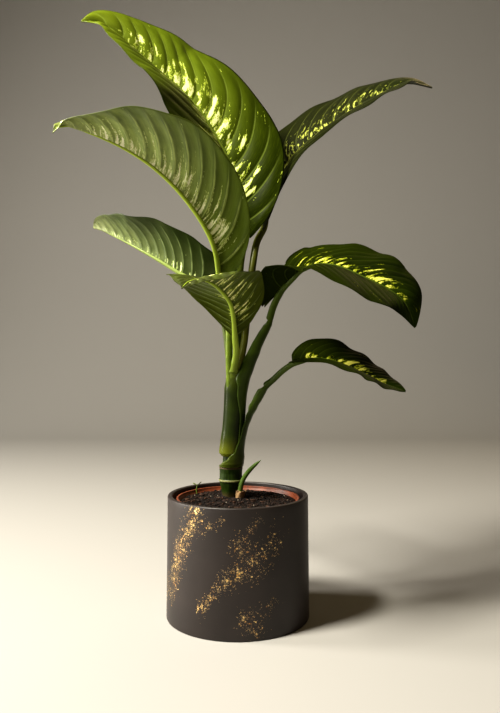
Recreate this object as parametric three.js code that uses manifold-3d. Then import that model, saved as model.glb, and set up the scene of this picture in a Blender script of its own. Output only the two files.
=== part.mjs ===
// A potted dieffenbachia: a leafy cane in a nursery pot, inside a decorative cover pot.
// Millimetres, +Z up. The origin is the centre of the cover pot's flat underside, and -Y is the front.
import * as THREE from 'three';
import { mergeVertices } from 'three/addons/utils/BufferGeometryUtils.js';
import Module from 'manifold-3d';

const wasm = await Module();
wasm.setup();

// Clearance left between neighbouring pieces
const GAP = 0.3;

// Cover pot: a plain cylinder, a little wider at the foot
const COVER = { height: 129, rimRadius: 75, footRadius: 76.3, wall: 5, floor: 8, round: 1.4, sides: 56 };

// Nursery pot: tapered, with a lip outside its rim and a ledge inside it
const NURSERY = {
  height: 117.5, rimRadius: 66, lipHeight: 9, lip: 1.9, wall: 1.5, footRadius: 50,
  ledgeDrop: 3, ledge: 1, drainRadius: 4, drainRing: 32, drains: 6, sides: 40,
};
const NURSERY_FOOT = COVER.floor + GAP;
const NURSERY_RIM = NURSERY_FOOT + NURSERY.height;

// Potting mix: its level, the mound round the cane, and how far its crumbs rise and fall
const SOIL = { level: 121, mound: 3.2, moundReach: 26, crumb: 0.9, rings: 9, sides: 40 };

// Line of the cane and of the sheaths round it, from the soil upwards
const STEM_LINE = [[-8, 17, 100], [-8, 17, 141], [-7.3, 14, 175], [-4.5, 10, 218], [-3, 6, 266]];

// Radius of the cane at each height, with its ring scar and the swelling under the lowest sheath
const CANE = [
  [100, 8.6], [123, 9.2], [130, 10.6], [136, 12], [139.6, 12.6], [140.6, 13.5], [141.8, 13.4], [142.8, 12.4],
  [149, 12.2], [154.4, 12.8], [155.6, 12.6], [156.6, 9.6], [166, 8.9], [176, 8.7],
];
const CANE_SIDES = 22;

// Points on either side of a section: of a leaf with a sheath, and of one that is all stalk
const SHEATH_POINTS = 9;
const STALK_POINTS = 5;

// Sheaths: wall, the share of it that is lost at the wing edges, and rings from row to row
const SHEATH_WALL = 1.5;
const WING_THINNING = 0.4;
const SHEATH_STEPS = 2;

// Rows along a blade, closer at its base, its thickness, and its columns from midrib to edge
const ROWS = { count: 18, first: 0.012, last: 0.988, spread: 1.15 };
const BLADE = 0.9;
const COLUMNS = [0.3, 0.62, 1];

// Waves along a blade's edge, and how far its side veins run on towards the tip
const WAVE = { height: 1.3, turns: 4.5 };
const VEIN_SWEEP = 0.12;
const VEIN_BEND = 1.4;

// Midrib below the blade: its drop and half-width in stalk radii, how much it thins, its widest share
const RIB = { drop: 1.1, half: 1.3, thinning: 0.82, widest: 0.16 };

// Where the stalk runs on inside the midrib: share of the blade's length, share of the stalk's radius
const STALK_ENDS = [[0, 0.95], [0.06, 0.8]];
const STALK_SINK = 0.9;

// Each leaf is given from its foot to its tip.
// back: degrees, the side of the stem that the leaf stands on. phase: where its waves begin.
// sheath rows: x, y, z, radius, degrees that it wraps to either side. stalk rows: x, y, z, radius.
// midrib: points from the blade's base to its tip. faces: share of the blade, then where its upper
// side looks. fold: share of the blade, then the degrees that each half is raised there.
// curl: degrees that a half bends back down, left and right. width: the widest half. wideAt: where.
// point: how it tapers. lobe: share of the blade that its basal lobes reach back.
const LEAVES = {
  leaf_top: {
    color: 0x4f7a1c, back: 45, phase: 0.4,
    sheath: [],
    stalk: [[-3.1, 18, 176.6, 3.8], [-0.4, 13.8, 218, 3.8], [1, 10.5, 266, 3.8], [1.7, 9.5, 300, 3.8],
      [1.2, 8.5, 340, 3.7], [2.8, 8, 377, 3.7]],
    midrib: [[7, 10, 408], [3, 15, 448], [-10, 21, 491], [-29, 25, 527], [-53, 27, 562], [-90, 25, 595],
      [-128, 18, 627], [-150, 11, 640], [-170, 2, 638]],
    faces: [[0, -0.1, -0.95, 0.1], [0.33, 0.4, -0.8, 0.45], [0.67, 0.6, -0.6, 0.5], [1, 0.3, -0.7, 0.65]],
    fold: [[0, 36], [0.5, 30], [1, 28]], curl: [22, 22], width: 74, wideAt: 0.4, point: 0.94, lobe: 0.02,
  },
  leaf_upper_right: {
    color: 0x25330c, back: -35, phase: 1.7,
    sheath: [],
    stalk: [[-3.1, 10, 176.6, 3.8], [-0.4, 6, 218, 3.8], [2.5, 1.8, 266, 3.8], [7.2, 1.2, 296, 3.8],
      [11.3, 5, 337.5, 3.8], [16.2, 14, 379, 3.9], [20.5, 24, 403, 3.9]],
    midrib: [[26.5, 34, 423], [34, 46, 455], [54.5, 60, 498], [77, 68, 525], [120, 80, 560], [168, 90, 591],
      [203, 95, 607], [234, 93, 601]],
    faces: [[0, -0.72, -0.6, 0.35], [0.33, -0.65, -0.55, 0.55], [0.67, -0.5, -0.5, 0.75], [1, -0.1, -0.4,
      0.9]],
    fold: [[0, 31], [0.5, 23], [1, 16]], curl: [17, 18], width: 56, wideAt: 0.41, point: 0.68, lobe: 0.045,
  },
  leaf_upper_left: {
    color: 0x4d6a26, back: 215, phase: 2.6,
    sheath: [],
    stalk: [[-11.2, 10, 176.6, 3.8], [-8.6, 6.2, 218, 3.8], [-8.8, 2, 250, 3.8], [-9.6, -0.5, 275, 3.8],
      [-9.6, -1, 305, 3.8], [-12.8, -1, 330, 3.7]],
    midrib: [[-17.5, -1, 353], [-20.5, -6, 378], [-29, -17, 404], [-54, -32, 440], [-83, -50, 466],
      [-115, -68, 483], [-149, -85, 493], [-165, -95, 494], [-171, -103, 484]],
    faces: [[0, 0.75, 0.6, 0.25], [0.33, 0.58, 0.65, 0.48], [0.67, 0.52, 0.48, 0.62], [1, 0.35, 0.2, 0.9]],
    fold: [[0, 48], [0.35, 48], [0.65, 41], [1, 30]], curl: [14, 12], width: 61, wideAt: 0.372,
    point: 1.35, lobe: 0,
  },
  leaf_mid_left: {
    color: 0x4a5f2c, back: 135, phase: 3.3,
    sheath: [],
    stalk: [[-11.2, 18, 176.6, 3.6], [-8.8, 14.2, 218, 3.6], [-9.5, 10.5, 266, 3.6], [-13.6, 14, 303, 3.5],
      [-19.5, 26, 334, 3.3]],
    midrib: [[-28, 40, 355], [-44, 44, 362], [-63, 50, 370.5], [-97, 62, 391.5], [-135, 78, 413.5],
      [-165, 94, 429], [-179, 108, 435]],
    faces: [[0, 0.5, 0.65, 0.55], [0.33, 0.3, 0.5, 0.75], [0.67, 0.15, 0.25, 0.92], [1, 0.25, 0.45, 0.8]],
    fold: [[0, 48], [0.5, 45], [1, 30]], curl: [14, 10], width: 44, wideAt: 0.31, point: 0.72, lobe: 0.07,
  },
  leaf_front: {
    color: 0x4c641f, back: -100, phase: 4.1,
    sheath: [[-7.6, 14.6, 168, 11, 150], [-8.5, 14.4, 171.5, 12.5, 150], [-7.6, 13.2, 184, 12, 150],
      [-5.9, 12, 199, 11.5, 150], [-4.5, 10, 218, 11.4, 130], [-3.9, 8.5, 240, 11.2, 105],
      [-3.9, 6, 252, 9.4, 85], [-3.8, 1.8, 258.5, 6.9, 80]],
    stalk: [[-3.6, -6.5, 266, 3.9], [-1.8, -11, 281, 3.4]],
    midrib: [[-2.6, -15, 296], [-4, -28, 316], [-7, -40, 331], [-15, -56, 341.5], [-24, -75, 348],
      [-34, -95, 350], [-42, -116, 345], [-48, -133, 337]],
    faces: [[0, 0.05, 0.95, 0.35], [0.33, 0.05, 0.55, 0.83], [0.67, 0.05, 0.1, 1], [1, 0, -0.45, 0.88]],
    fold: [[0, 21], [0.5, 17], [1, 6]], curl: [13, 9], width: 46, wideAt: 0.42, point: 1.35, lobe: 0.01,
  },
  leaf_mid_right: {
    color: 0x223408, back: -8, phase: 5.2,
    sheath: [[-7.5, 14.5, 168, 12.9, 50], [-5.4, 11, 206, 12.9, 45], [-2, 8, 241, 12.7, 75],
      [3.2, 6, 256, 11.4, 105], [12.6, 3.5, 274, 8.6, 125], [19.6, 2, 289, 7.2, 130],
      [25.4, 1, 300, 6.6, 128], [30.2, 0.6, 309, 5.9, 120], [32.2, 0.5, 313, 4.9, 105]],
    stalk: [[34, 0.4, 317, 3.9], [37.6, 0.6, 329, 3.8]],
    midrib: [[41, 2, 343], [46, 0, 350], [54.5, -8, 357], [66, -14, 368], [82, -20, 373], [103, -30, 370],
      [130, -40, 357], [152, -46, 345], [168, -48, 332], [180, -46, 305]],
    faces: [[0, -0.6, 0.3, 0.7], [0.12, -0.5, 0.1, 0.8], [0.24, -0.1, -0.38, 0.9], [0.36, 0.2, -0.5, 0.85],
      [0.7, 0.3, -0.65, 0.7], [1, 0.72, -0.6, 0.3]],
    fold: [[0, 58], [0.12, 47], [0.26, 17], [1, 15]], curl: [12, 14], width: 52, wideAt: 0.43,
    point: 0.78, lobe: 0.11,
  },
  leaf_low_right: {
    color: 0x1f2e0b, back: -12, phase: 0.9,
    sheath: [[-7.7, 15.5, 156.3, 13.2, 168], [-7.6, 15.2, 160.5, 14, 125], [-7.5, 15, 166, 14.4, 92],
      [-7.2, 14.3, 175, 14, 60], [-4.5, 13, 190, 13.5, 44], [0.4, 11, 204, 12.5, 46],
      [8.6, 8.5, 216, 9.8, 70], [16.7, 6, 226, 7, 108], [22.8, 4.5, 236, 6.6, 120],
      [25.6, 3.6, 241, 6.3, 122], [27.8, 2.8, 243.1, 5.1, 105]],
    stalk: [[30.5, 2, 245.5, 3.9], [37.2, -0.5, 251, 3.3], [47.6, -5, 261, 3.2]],
    midrib: [[57, -10.5, 270.5], [73, -17, 274], [88, -19, 274], [103, -19, 271], [132, -17, 259],
      [152, -18, 249], [176, -21, 240]],
    faces: [[0, -0.05, -0.45, 0.88], [0.33, 0.05, -0.45, 0.88], [0.67, 0.27, -0.37, 0.88], [1, 0.3, -0.4,
      0.85]],
    fold: [[0, 35], [0.5, 27], [1, 19]], curl: [20, 24], width: 32, wideAt: 0.33, point: 0.66, lobe: 0.01,
  },
};

// Offshoot, its dry husk and the seedling: rows of x, y, z, radius
const OFFSHOOT = [[2, 6.6, 112, 2.5], [1.8, 6.4, 124, 2.7], [2.6, 6.2, 134, 2.7], [5.6, 6, 143.5, 2.6],
  [11.8, 5, 152.6, 2.4], [18.5, 4.4, 159.4, 1.9], [24.3, 4, 164.2, 0.5]];
const OFFSHOOT_PRONG = [[15.6, 4.9, 157.2, 1.4], [19.2, 4.6, 160.8, 1.1], [21.6, 4.4, 162.8, 0.45]];
const HUSK = [[2, 6.5, 117, 4.1, 150], [2, 6.4, 124, 4.6, 140], [2.8, 6.2, 129, 5.2, 120],
  [3.4, 6.1, 132, 5.9, 95]];
const HUSK_WALL = 0.9;
const HUSK_BACK = -60;
const SEEDLING = [[-47, 36, 113, 0.8], [-47, 36, 121, 0.8], [-47.3, 36, 127, 0.7], [-46.6, 36, 131, 0.6]];
const SEED_LEAVES = [[-43, 35.6, 134.4], [-50.2, 36.4, 133.2]];

// Plain holes in the soil: radius round the cane, the offshoot and the seedling, and where they end above
const HOLES = { cane: 10.1, shoot: 5.1, seed: 1.3, top: 140 };

// Joins and cuts of closed meshes

function toManifold(geometry) {
  const bare = geometry.clone();
  bare.deleteAttribute('normal');
  bare.deleteAttribute('uv');
  const merged = mergeVertices(bare, 1e-4);
  return new wasm.Manifold(new wasm.Mesh({
    numProp: 3,
    vertProperties: new Float32Array(merged.attributes.position.array),
    triVerts: new Uint32Array(merged.index.array),
  }));
}

function toGeometry(manifold) {
  const { vertProperties, triVerts, numProp } = manifold.getMesh();
  const count = vertProperties.length / numProp;
  const places = new Float32Array(count * 3);
  for (let i = 0; i < count; i += 1) {
    for (let k = 0; k < 3; k += 1) places[i * 3 + k] = vertProperties[i * numProp + k];
  }
  const geometry = new THREE.BufferGeometry();
  geometry.setAttribute('position', new THREE.BufferAttribute(places, 3));
  geometry.setIndex(Array.from(triVerts));
  geometry.computeVertexNormals();
  return geometry;
}

// The largest of a solid's separate bodies, where a cut has left scraps
function largest(manifold) {
  const bodies = manifold.decompose();
  return bodies.reduce((best, body) => (body.volume() > best.volume() ? body : best));
}

// Sheaths and stalks

function vectors(rows) {
  return rows.map(([x, y, z]) => new THREE.Vector3(x, y, z));
}

function closedGeometry(points, faces) {
  const geometry = new THREE.BufferGeometry();
  const places = new Float32Array(points.flatMap((point) => point.toArray()));
  geometry.setAttribute('position', new THREE.BufferAttribute(places, 3));
  geometry.setIndex(faces.flat());
  geometry.computeVertexNormals();
  return geometry;
}

// One outline round a sheath (solid = 0) or a stalk (solid = 1), in the plane of its ring
function section({ radius, wrap, solid }, half, wall, grow) {
  const total = 2 * half;
  const reach = THREE.MathUtils.degToRad(wrap) + grow / radius;
  const outline = [];
  for (let k = 0; k < total; k += 1) {
    const outside = k < half;
    const share = outside ? (2 * k) / (half - 1) - 1 : 1 - (2 * (k - half)) / (half - 1);
    const depth = wall * (1 - WING_THINNING * share * share);
    const open = outside ? radius + grow : radius - depth - grow;
    const turn = share * reach;
    const round = (Math.PI * (2 * k - half + 1)) / total;
    const opened = new THREE.Vector2(Math.cos(turn), Math.sin(turn)).multiplyScalar(open);
    const closed = new THREE.Vector2(Math.cos(round), Math.sin(round)).multiplyScalar(radius + grow);
    outline.push(opened.lerp(closed, solid));
  }
  return outline;
}

function smooth(t) {
  return t * t * (3 - 2 * t);
}

// Rings swept from row to row, each in the plane that its place on the line calls for
function sweep(rows, { back, wall, steps, half, grow = 0 }) {
  const curve = new THREE.CatmullRomCurve3(vectors(rows), false, 'centripetal');
  const side = new THREE.Vector3(Math.cos(back), Math.sin(back), 0);
  const points = [];
  const outlines = [];
  const count = (rows.length - 1) * steps;
  for (let i = 0; i <= count; i += 1) {
    const row = Math.min(Math.floor(i / steps), rows.length - 2);
    const share = i / steps - row;
    const from = rows[row];
    const to = rows[row + 1];
    const solid = from[5] + (to[5] - from[5]) * smooth(share);
    const radius = from[3] + (to[3] - from[3]) * smooth(share);
    const wrap = from[4] + (to[4] - from[4]) * smooth(share);
    const centre = curve.getPoint(i / count);
    const along = curve.getTangent(i / count).lerp(new THREE.Vector3(0, 0, 1), 1 - solid).normalize();
    const outward = side.clone().addScaledVector(along, -side.dot(along)).normalize();
    const across = along.clone().cross(outward);
    const outline = section({ radius, wrap, solid }, half, wall, grow);
    outlines.push(outline);
    for (const { x, y } of outline) {
      points.push(centre.clone().addScaledVector(outward, x).addScaledVector(across, y));
    }
  }
  return skin(points, outlines);
}

// A closed skin over rings of equal count, with a flat cap at either end
function skin(points, outlines) {
  const size = outlines[0].length;
  const last = outlines.length - 1;
  const faces = [];
  for (let i = 0; i < last; i += 1) {
    for (let k = 0; k < size; k += 1) {
      const a = i * size + k;
      const b = i * size + ((k + 1) % size);
      faces.push([a, b, b + size], [a, b + size, a + size]);
    }
  }
  for (const [a, b, c] of THREE.ShapeUtils.triangulateShape(outlines[0], [])) faces.push([a, c, b]);
  for (const [a, b, c] of THREE.ShapeUtils.triangulateShape(outlines[last], [])) {
    faces.push([a + last * size, b + last * size, c + last * size]);
  }
  return closedGeometry(points, faces);
}

// Blades

function mixRows(rows, at) {
  const next = Math.max(1, rows.findIndex((row) => row[0] >= at));
  const from = rows[next - 1];
  const to = rows[next];
  const share = (at - from[0]) / (to[0] - from[0]);
  return from.slice(1).map((value, k) => value + (to[k + 1] - value) * share);
}

function bladeFrame(leaf, curve, at) {
  const inside = THREE.MathUtils.clamp(at, 0, 1);
  const along = curve.getTangentAt(inside);
  const up = new THREE.Vector3(...mixRows(leaf.faces, inside));
  up.addScaledVector(along, -up.dot(along)).normalize();
  const [fold] = mixRows(leaf.fold, inside);
  return { inside, along, up, across: along.clone().cross(up), fold: THREE.MathUtils.degToRad(fold) };
}

function bladeWidth(leaf, t) {
  const root = (leaf.point * leaf.wideAt) / (1 - leaf.wideAt);
  const shape = (s) => s ** root * (1 - s) ** leaf.point;
  return (leaf.width * shape(t)) / shape(leaf.wideAt);
}

// A point of the blade: t runs from base to tip along its veins' feet, q from the midrib to an edge
function bladePoint(leaf, curve, length, t, side, q) {
  const sweepBack = -leaf.lobe * (1 - t) ** 6;
  const sweepOn = VEIN_SWEEP * Math.sin(Math.PI * t) * (1 - t) ** 0.3;
  const at = t + (sweepBack + sweepOn) * q ** VEIN_BEND;
  const { inside, along, up, across, fold } = bladeFrame(leaf, curve, at);
  const curl = THREE.MathUtils.degToRad(side < 0 ? leaf.curl[0] : leaf.curl[1]);
  const width = bladeWidth(leaf, t);
  const over = (width / curl) * (Math.sin(fold) - Math.sin(fold - curl * q));
  const ripple = Math.sin(2 * Math.PI * WAVE.turns * t + leaf.phase + side);
  const wave = WAVE.height * q * q * Math.sin(Math.PI * t) * ripple;
  const lift = (width / curl) * (Math.cos(fold - curl * q) - Math.cos(fold)) + wave;
  return curve.getPointAt(inside)
    .addScaledVector(along, Math.min(at, 0) * length)
    .addScaledVector(across, side * over)
    .addScaledVector(up, lift);
}

// Upper and lower faces of a blade, split alike, with the midrib standing out below
function blade(leaf, ribRadius) {
  const curve = new THREE.CatmullRomCurve3(vectors(leaf.midrib), false, 'centripetal');
  curve.arcLengthDivisions = 400;
  const length = curve.getLength();
  const upper = [];
  const rib = [];
  const columns = COLUMNS.length * 2 + 3;
  const middle = (columns - 1) / 2;
  for (let i = 0; i <= ROWS.count; i += 1) {
    const t = ROWS.first + (ROWS.last - ROWS.first) * (i / ROWS.count) ** ROWS.spread;
    const radius = ribRadius * (1 - RIB.thinning * t);
    const edge = Math.min(RIB.widest, (RIB.half * radius) / Math.max(bladeWidth(leaf, t), 1));
    const places = [0, edge, ...COLUMNS];
    for (let j = 0; j < columns; j += 1) {
      const q = places[Math.abs(j - middle)];
      upper.push(bladePoint(leaf, curve, length, t, j < middle ? -1 : 1, q));
      rib.push(j === middle ? RIB.drop * radius : 0);
    }
  }
  const face = (i, j) => i * columns + j;
  const top = [];
  for (let i = 0; i < ROWS.count; i += 1) {
    for (let j = 0; j < columns - 1; j += 1) {
      const [a, b, c, d] = [face(i, j), face(i, j + 1), face(i + 1, j + 1), face(i + 1, j)];
      if (j < middle) top.push([a, b, c], [a, c, d]);
      else top.push([a, b, d], [b, c, d]);
    }
  }
  const sheet = closedGeometry(upper, top);
  const normals = sheet.attributes.normal;
  const count = upper.length;
  const lower = upper.map((point, k) => {
    const normal = new THREE.Vector3().fromBufferAttribute(normals, k);
    return point.clone().addScaledVector(normal, -(BLADE + rib[k]));
  });
  const faces = [...top, ...top.map(([a, b, c]) => [a + count, c + count, b + count])];
  const edge = [];
  for (let j = 0; j < columns - 1; j += 1) edge.push(face(0, j));
  for (let i = 0; i < ROWS.count; i += 1) edge.push(face(i, columns - 1));
  for (let j = columns - 1; j > 0; j -= 1) edge.push(face(ROWS.count, j));
  for (let i = ROWS.count; i > 0; i -= 1) edge.push(face(i, 0));
  edge.forEach((a, k) => {
    const b = edge[(k + 1) % edge.length];
    faces.push([a, a + count, b + count], [a, b + count, b]);
  });
  return closedGeometry([...upper, ...lower], faces);
}

// Sheath and stalk of a leaf as one sweep, which ends inside the blade's midrib
function stem(leaf, grow = 0) {
  const lastStalk = leaf.stalk[leaf.stalk.length - 1];
  const curve = new THREE.CatmullRomCurve3(vectors(leaf.midrib), false, 'centripetal');
  const rows = [
    ...leaf.sheath.map((row) => [...row, 0]),
    ...leaf.stalk.map((row) => [...row, 120, 1]),
  ];
  for (const [at, scale] of STALK_ENDS) {
    const { up } = bladeFrame(leaf, curve, at);
    const radius = lastStalk[3] * scale;
    const centre = curve.getPointAt(at).addScaledVector(up, -STALK_SINK * radius);
    rows.push([centre.x, centre.y, centre.z, radius, 120, 1]);
  }
  const back = THREE.MathUtils.degToRad(leaf.back);
  const half = leaf.sheath.length ? SHEATH_POINTS : STALK_POINTS;
  return toManifold(sweep(rows, { back, wall: SHEATH_WALL, steps: SHEATH_STEPS, half, grow }));
}

// Pots and soil

function lathe(profile, sides) {
  const geometry = new THREE.LatheGeometry(profile.map(([r, z]) => new THREE.Vector2(r, z)), sides);
  geometry.rotateX(Math.PI / 2);
  return geometry;
}

function coverPot() {
  const { height, rimRadius, footRadius, wall, floor, round, sides } = COVER;
  const inner = rimRadius - wall;
  return lathe([
    [0, 0], [footRadius - 2 * round, 0], [footRadius - 0.6 * round, 0.4 * round], [footRadius, 1.8 * round],
    [rimRadius, height - round], [rimRadius - 0.3 * round, height - 0.3 * round], [rimRadius - round, height],
    [inner + round, height], [inner + 0.3 * round, height - 0.3 * round], [inner, height - round],
    [inner, floor + 3], [inner - 3, floor], [0, floor],
  ], sides);
}

function nurseryPot() {
  const { height, rimRadius, lipHeight, lip, wall, footRadius, ledgeDrop, ledge, sides } = NURSERY;
  const neck = rimRadius - lip;
  const base = NURSERY_FOOT;
  const top = NURSERY_RIM;
  const shell = toManifold(lathe([
    [0, base], [footRadius - 2, base], [footRadius, base + 2], [neck, top - lipHeight],
    [rimRadius, top - lipHeight + 0.8], [rimRadius, top - 0.8], [rimRadius - 0.8, top],
    [rimRadius - lip - wall + ledge + 0.6, top], [rimRadius - lip - wall + ledge, top - ledgeDrop],
    [neck - wall, top - ledgeDrop - 0.6], [neck - wall, top - lipHeight - 1],
    [footRadius - wall, base + 3], [footRadius - wall - 2, base + wall], [0, base + wall],
  ], sides));
  const holes = [];
  for (let k = 0; k < NURSERY.drains; k += 1) {
    const turn = (2 * Math.PI * k) / NURSERY.drains;
    const hole = new THREE.CylinderGeometry(NURSERY.drainRadius, NURSERY.drainRadius, 12, 10);
    hole.rotateX(Math.PI / 2);
    hole.translate(NURSERY.drainRing * Math.cos(turn), NURSERY.drainRing * Math.sin(turn), base);
    holes.push(toManifold(hole));
  }
  return toGeometry(holes.reduce((pot, hole) => pot.subtract(hole), shell));
}

// Height of the soil: a mound round the cane, with crumbs, level where it meets the pot
function soilHeight(x, y, edge) {
  const reach = Math.hypot(x - STEM_LINE[0][0], y - STEM_LINE[0][1]) / SOIL.moundReach;
  const away = Math.min(1, (edge - Math.hypot(x, y)) / 8);
  const crumbs = Math.sin(x * 0.31 + 1.3) * Math.cos(y * 0.27 - 0.6) + 0.7 * Math.sin(x * 0.13 - y * 0.19);
  return SOIL.level + SOIL.mound * Math.exp(-reach * reach) + SOIL.crumb * crumbs * away;
}

// What a hole takes out of the soil, from just below the foot of what stands in it
function plug([x, y, foot], radius, sides) {
  const from = foot - GAP;
  const geometry = new THREE.CylinderGeometry(radius, radius, HOLES.top - from, sides);
  geometry.rotateX(Math.PI / 2);
  geometry.translate(x, y, (from + HOLES.top) / 2);
  return toManifold(geometry);
}

function soil() {
  const low = NURSERY_FOOT + NURSERY.wall + GAP;
  const bottomRadius = NURSERY.footRadius - NURSERY.wall - 2 - GAP;
  const topRadius = NURSERY.rimRadius - NURSERY.lip - NURSERY.wall - GAP;
  const neckHeight = NURSERY_RIM - NURSERY.lipHeight - 1;
  const profile = [[0, low], [bottomRadius, low], [NURSERY.footRadius - NURSERY.wall - GAP, low + 2.5],
    [topRadius - GAP, neckHeight]];
  for (let k = 0; k < SOIL.rings; k += 1) {
    profile.push([topRadius * (1 - k / (SOIL.rings - 1)), SOIL.level]);
  }
  const geometry = lathe(profile, SOIL.sides);
  const places = geometry.attributes.position;
  for (let i = 0; i < places.count; i += 1) {
    if (Math.abs(places.getZ(i) - SOIL.level) < 1e-3) {
      places.setZ(i, soilHeight(places.getX(i), places.getY(i), topRadius));
    }
  }
  const [cane, shoot, seed] = [STEM_LINE[0], OFFSHOOT[0], SEEDLING[0]];
  const cuts = [
    plug(cane, HOLES.cane, CANE_SIDES),
    plug(shoot, HOLES.shoot, 14),
    plug(seed, HOLES.seed, 8),
  ];
  return toGeometry(largest(cuts.reduce((bed, cut) => bed.subtract(cut), toManifold(geometry))));
}

// Cane, offshoot, husk and seedling

function cane() {
  const curve = new THREE.CatmullRomCurve3(vectors(STEM_LINE), false, 'centripetal');
  const points = [];
  const outlines = [];
  for (const [z, radius] of CANE) {
    const centre = curve.getPoint(findHeight(curve, z));
    const outline = [];
    for (let k = 0; k < CANE_SIDES; k += 1) {
      const turn = (2 * Math.PI * k) / CANE_SIDES;
      outline.push(new THREE.Vector2(Math.cos(turn), Math.sin(turn)).multiplyScalar(radius));
    }
    outlines.push(outline);
    for (const { x, y } of outline) points.push(new THREE.Vector3(centre.x + x, centre.y + y, z));
  }
  return skin(points, outlines);
}

// Where a rising curve passes a height, by halving
function findHeight(curve, z) {
  let [low, high] = [0, 1];
  for (let k = 0; k < 30; k += 1) {
    const middle = (low + high) / 2;
    if (curve.getPoint(middle).z < z) low = middle;
    else high = middle;
  }
  return (low + high) / 2;
}

function tube(rows, steps) {
  const solid = rows.map((row) => [...row, 120, 1]);
  return toManifold(sweep(solid, { back: 0, wall: SHEATH_WALL, steps, half: STALK_POINTS - 1 }));
}

function offshoot() {
  return toGeometry(tube(OFFSHOOT, 2).add(tube(OFFSHOOT_PRONG, 1)));
}

function husk() {
  const rows = HUSK.map((row) => [...row, 0]);
  const back = THREE.MathUtils.degToRad(HUSK_BACK);
  return sweep(rows, { back, wall: HUSK_WALL, steps: 1, half: SHEATH_POINTS });
}

function seedling() {
  const tip = SEEDLING[SEEDLING.length - 1];
  const leaves = SEED_LEAVES.map(([x, y, z]) => {
    const pad = new THREE.SphereGeometry(1, 8, 5);
    pad.scale(Math.hypot(x - tip[0], z - tip[2]) * 0.7, 1.5, 0.5);
    pad.rotateY(-Math.atan2(z - tip[2], x - tip[0]));
    pad.translate((x + tip[0]) / 2, (y + tip[1]) / 2, (z + tip[2]) / 2);
    return toManifold(pad);
  });
  return toGeometry(leaves.reduce((plant, leaf) => plant.add(leaf), tube(SEEDLING, 1)));
}

// Assembly

const model = new THREE.Group();

function place(name, geometry, color, roughness, metalness = 0) {
  const mesh = new THREE.Mesh(geometry, new THREE.MeshStandardMaterial({ color, roughness, metalness }));
  mesh.name = name;
  model.add(mesh);
}

place('cover_pot', coverPot(), 0x4a4440, 0.75);
place('nursery_pot', nurseryPot(), 0x9a4a25, 0.55);
place('soil', soil(), 0x1c130d, 1);
place('cane', cane(), 0x3a5a18, 0.5);
place('offshoot', offshoot(), 0x4d7a26, 0.45);
place('offshoot_husk', husk(), 0xa07a48, 0.9);
place('seedling', seedling(), 0x4f8a24, 0.5);

// From the inside of the bundle outwards: each sheath clears the stalks that it wraps
const wrapped = [];
for (const [name, leaf] of Object.entries(LEAVES)) {
  const whole = stem(leaf).add(toManifold(blade(leaf, leaf.stalk[leaf.stalk.length - 1][3])));
  const clear = wrapped.reduce((body, inner) => body.subtract(inner), whole);
  place(name, toGeometry(largest(clear)), leaf.color, 0.4);
  wrapped.push(stem(leaf, GAP));
}

export default model;
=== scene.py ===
"""Looks of the potted dieffenbachia: fine leaves, stalks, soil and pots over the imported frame.

Lengths are in millimetres up to the mesh, where MM turns them into metres. +Z is up, -Y is the front.
"""
import math

import bpy
import numpy as np
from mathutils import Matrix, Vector


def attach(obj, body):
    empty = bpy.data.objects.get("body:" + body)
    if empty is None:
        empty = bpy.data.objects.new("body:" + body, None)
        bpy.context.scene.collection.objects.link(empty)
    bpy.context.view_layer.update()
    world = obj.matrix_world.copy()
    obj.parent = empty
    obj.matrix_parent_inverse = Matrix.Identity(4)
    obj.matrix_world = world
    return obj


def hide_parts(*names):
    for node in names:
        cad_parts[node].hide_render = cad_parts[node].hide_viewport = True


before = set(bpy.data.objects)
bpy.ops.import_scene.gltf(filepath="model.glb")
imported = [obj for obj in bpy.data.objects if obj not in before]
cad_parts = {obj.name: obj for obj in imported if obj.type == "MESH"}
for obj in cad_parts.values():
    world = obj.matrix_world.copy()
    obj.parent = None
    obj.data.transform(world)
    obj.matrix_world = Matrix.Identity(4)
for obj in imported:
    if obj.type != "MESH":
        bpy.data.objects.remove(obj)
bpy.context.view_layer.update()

MM = 0.001
BODY = "root"
MAP = "surface"
FLECK_MAP = "flecks"

# Camera of the photograph: level, looking along +Y
CAMERA_PLACE = (12.9, -755.0, 276.4)
FOCAL_PIXELS = 702.7
PICTURE_HEIGHT = 713
SENSOR = 36.0

# Lights: place, aim, size across and up in metres, watts, colour
LIGHTS = {
    "key": ((-0.72, -0.42, 1.40), (0.0, 0.0, 0.42), (0.3, 0.4), 52, (1.0, 0.95, 0.83)),
    "edge": ((-2.10, 0.20, 0.80), (0.0, 0.0, 0.25), (0.45, 1.4), 58, (1.0, 0.95, 0.86)),
    "front": ((-1.5, -1.0, 0.62), (0.0, 0.0, 0.42), (0.4, 0.4), 9, (1.0, 0.96, 0.86)),
    "fill": ((1.3, -1.7, 0.7), (0.0, 0.0, 0.35), (1.4, 1.4), 1.5, (1.0, 0.70, 0.34)),
    "back": ((0.9, 1.2, 1.5), (0.0, 0.0, 0.4), (0.8, 0.8), 3.5, (1.0, 0.74, 0.38)),
}

# The dim glow all round
GLOW_COLOUR = (1.0, 0.78, 0.46, 1)
GLOW_STRENGTH = 0.06

# Floor: its flat part from front to back, the bend up into the backdrop and its top, in metres
FLOOR = {"front": -2.6, "flat": 1.6, "bend": 0.9, "top": 3.6, "half_width": 4}
PAPER = (0.36, 0.35, 0.335)

# How near to the axis a turned profile begins and ends, and the points of its arcs
AXIS = 0.01
ARC_POINTS = 6

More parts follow.
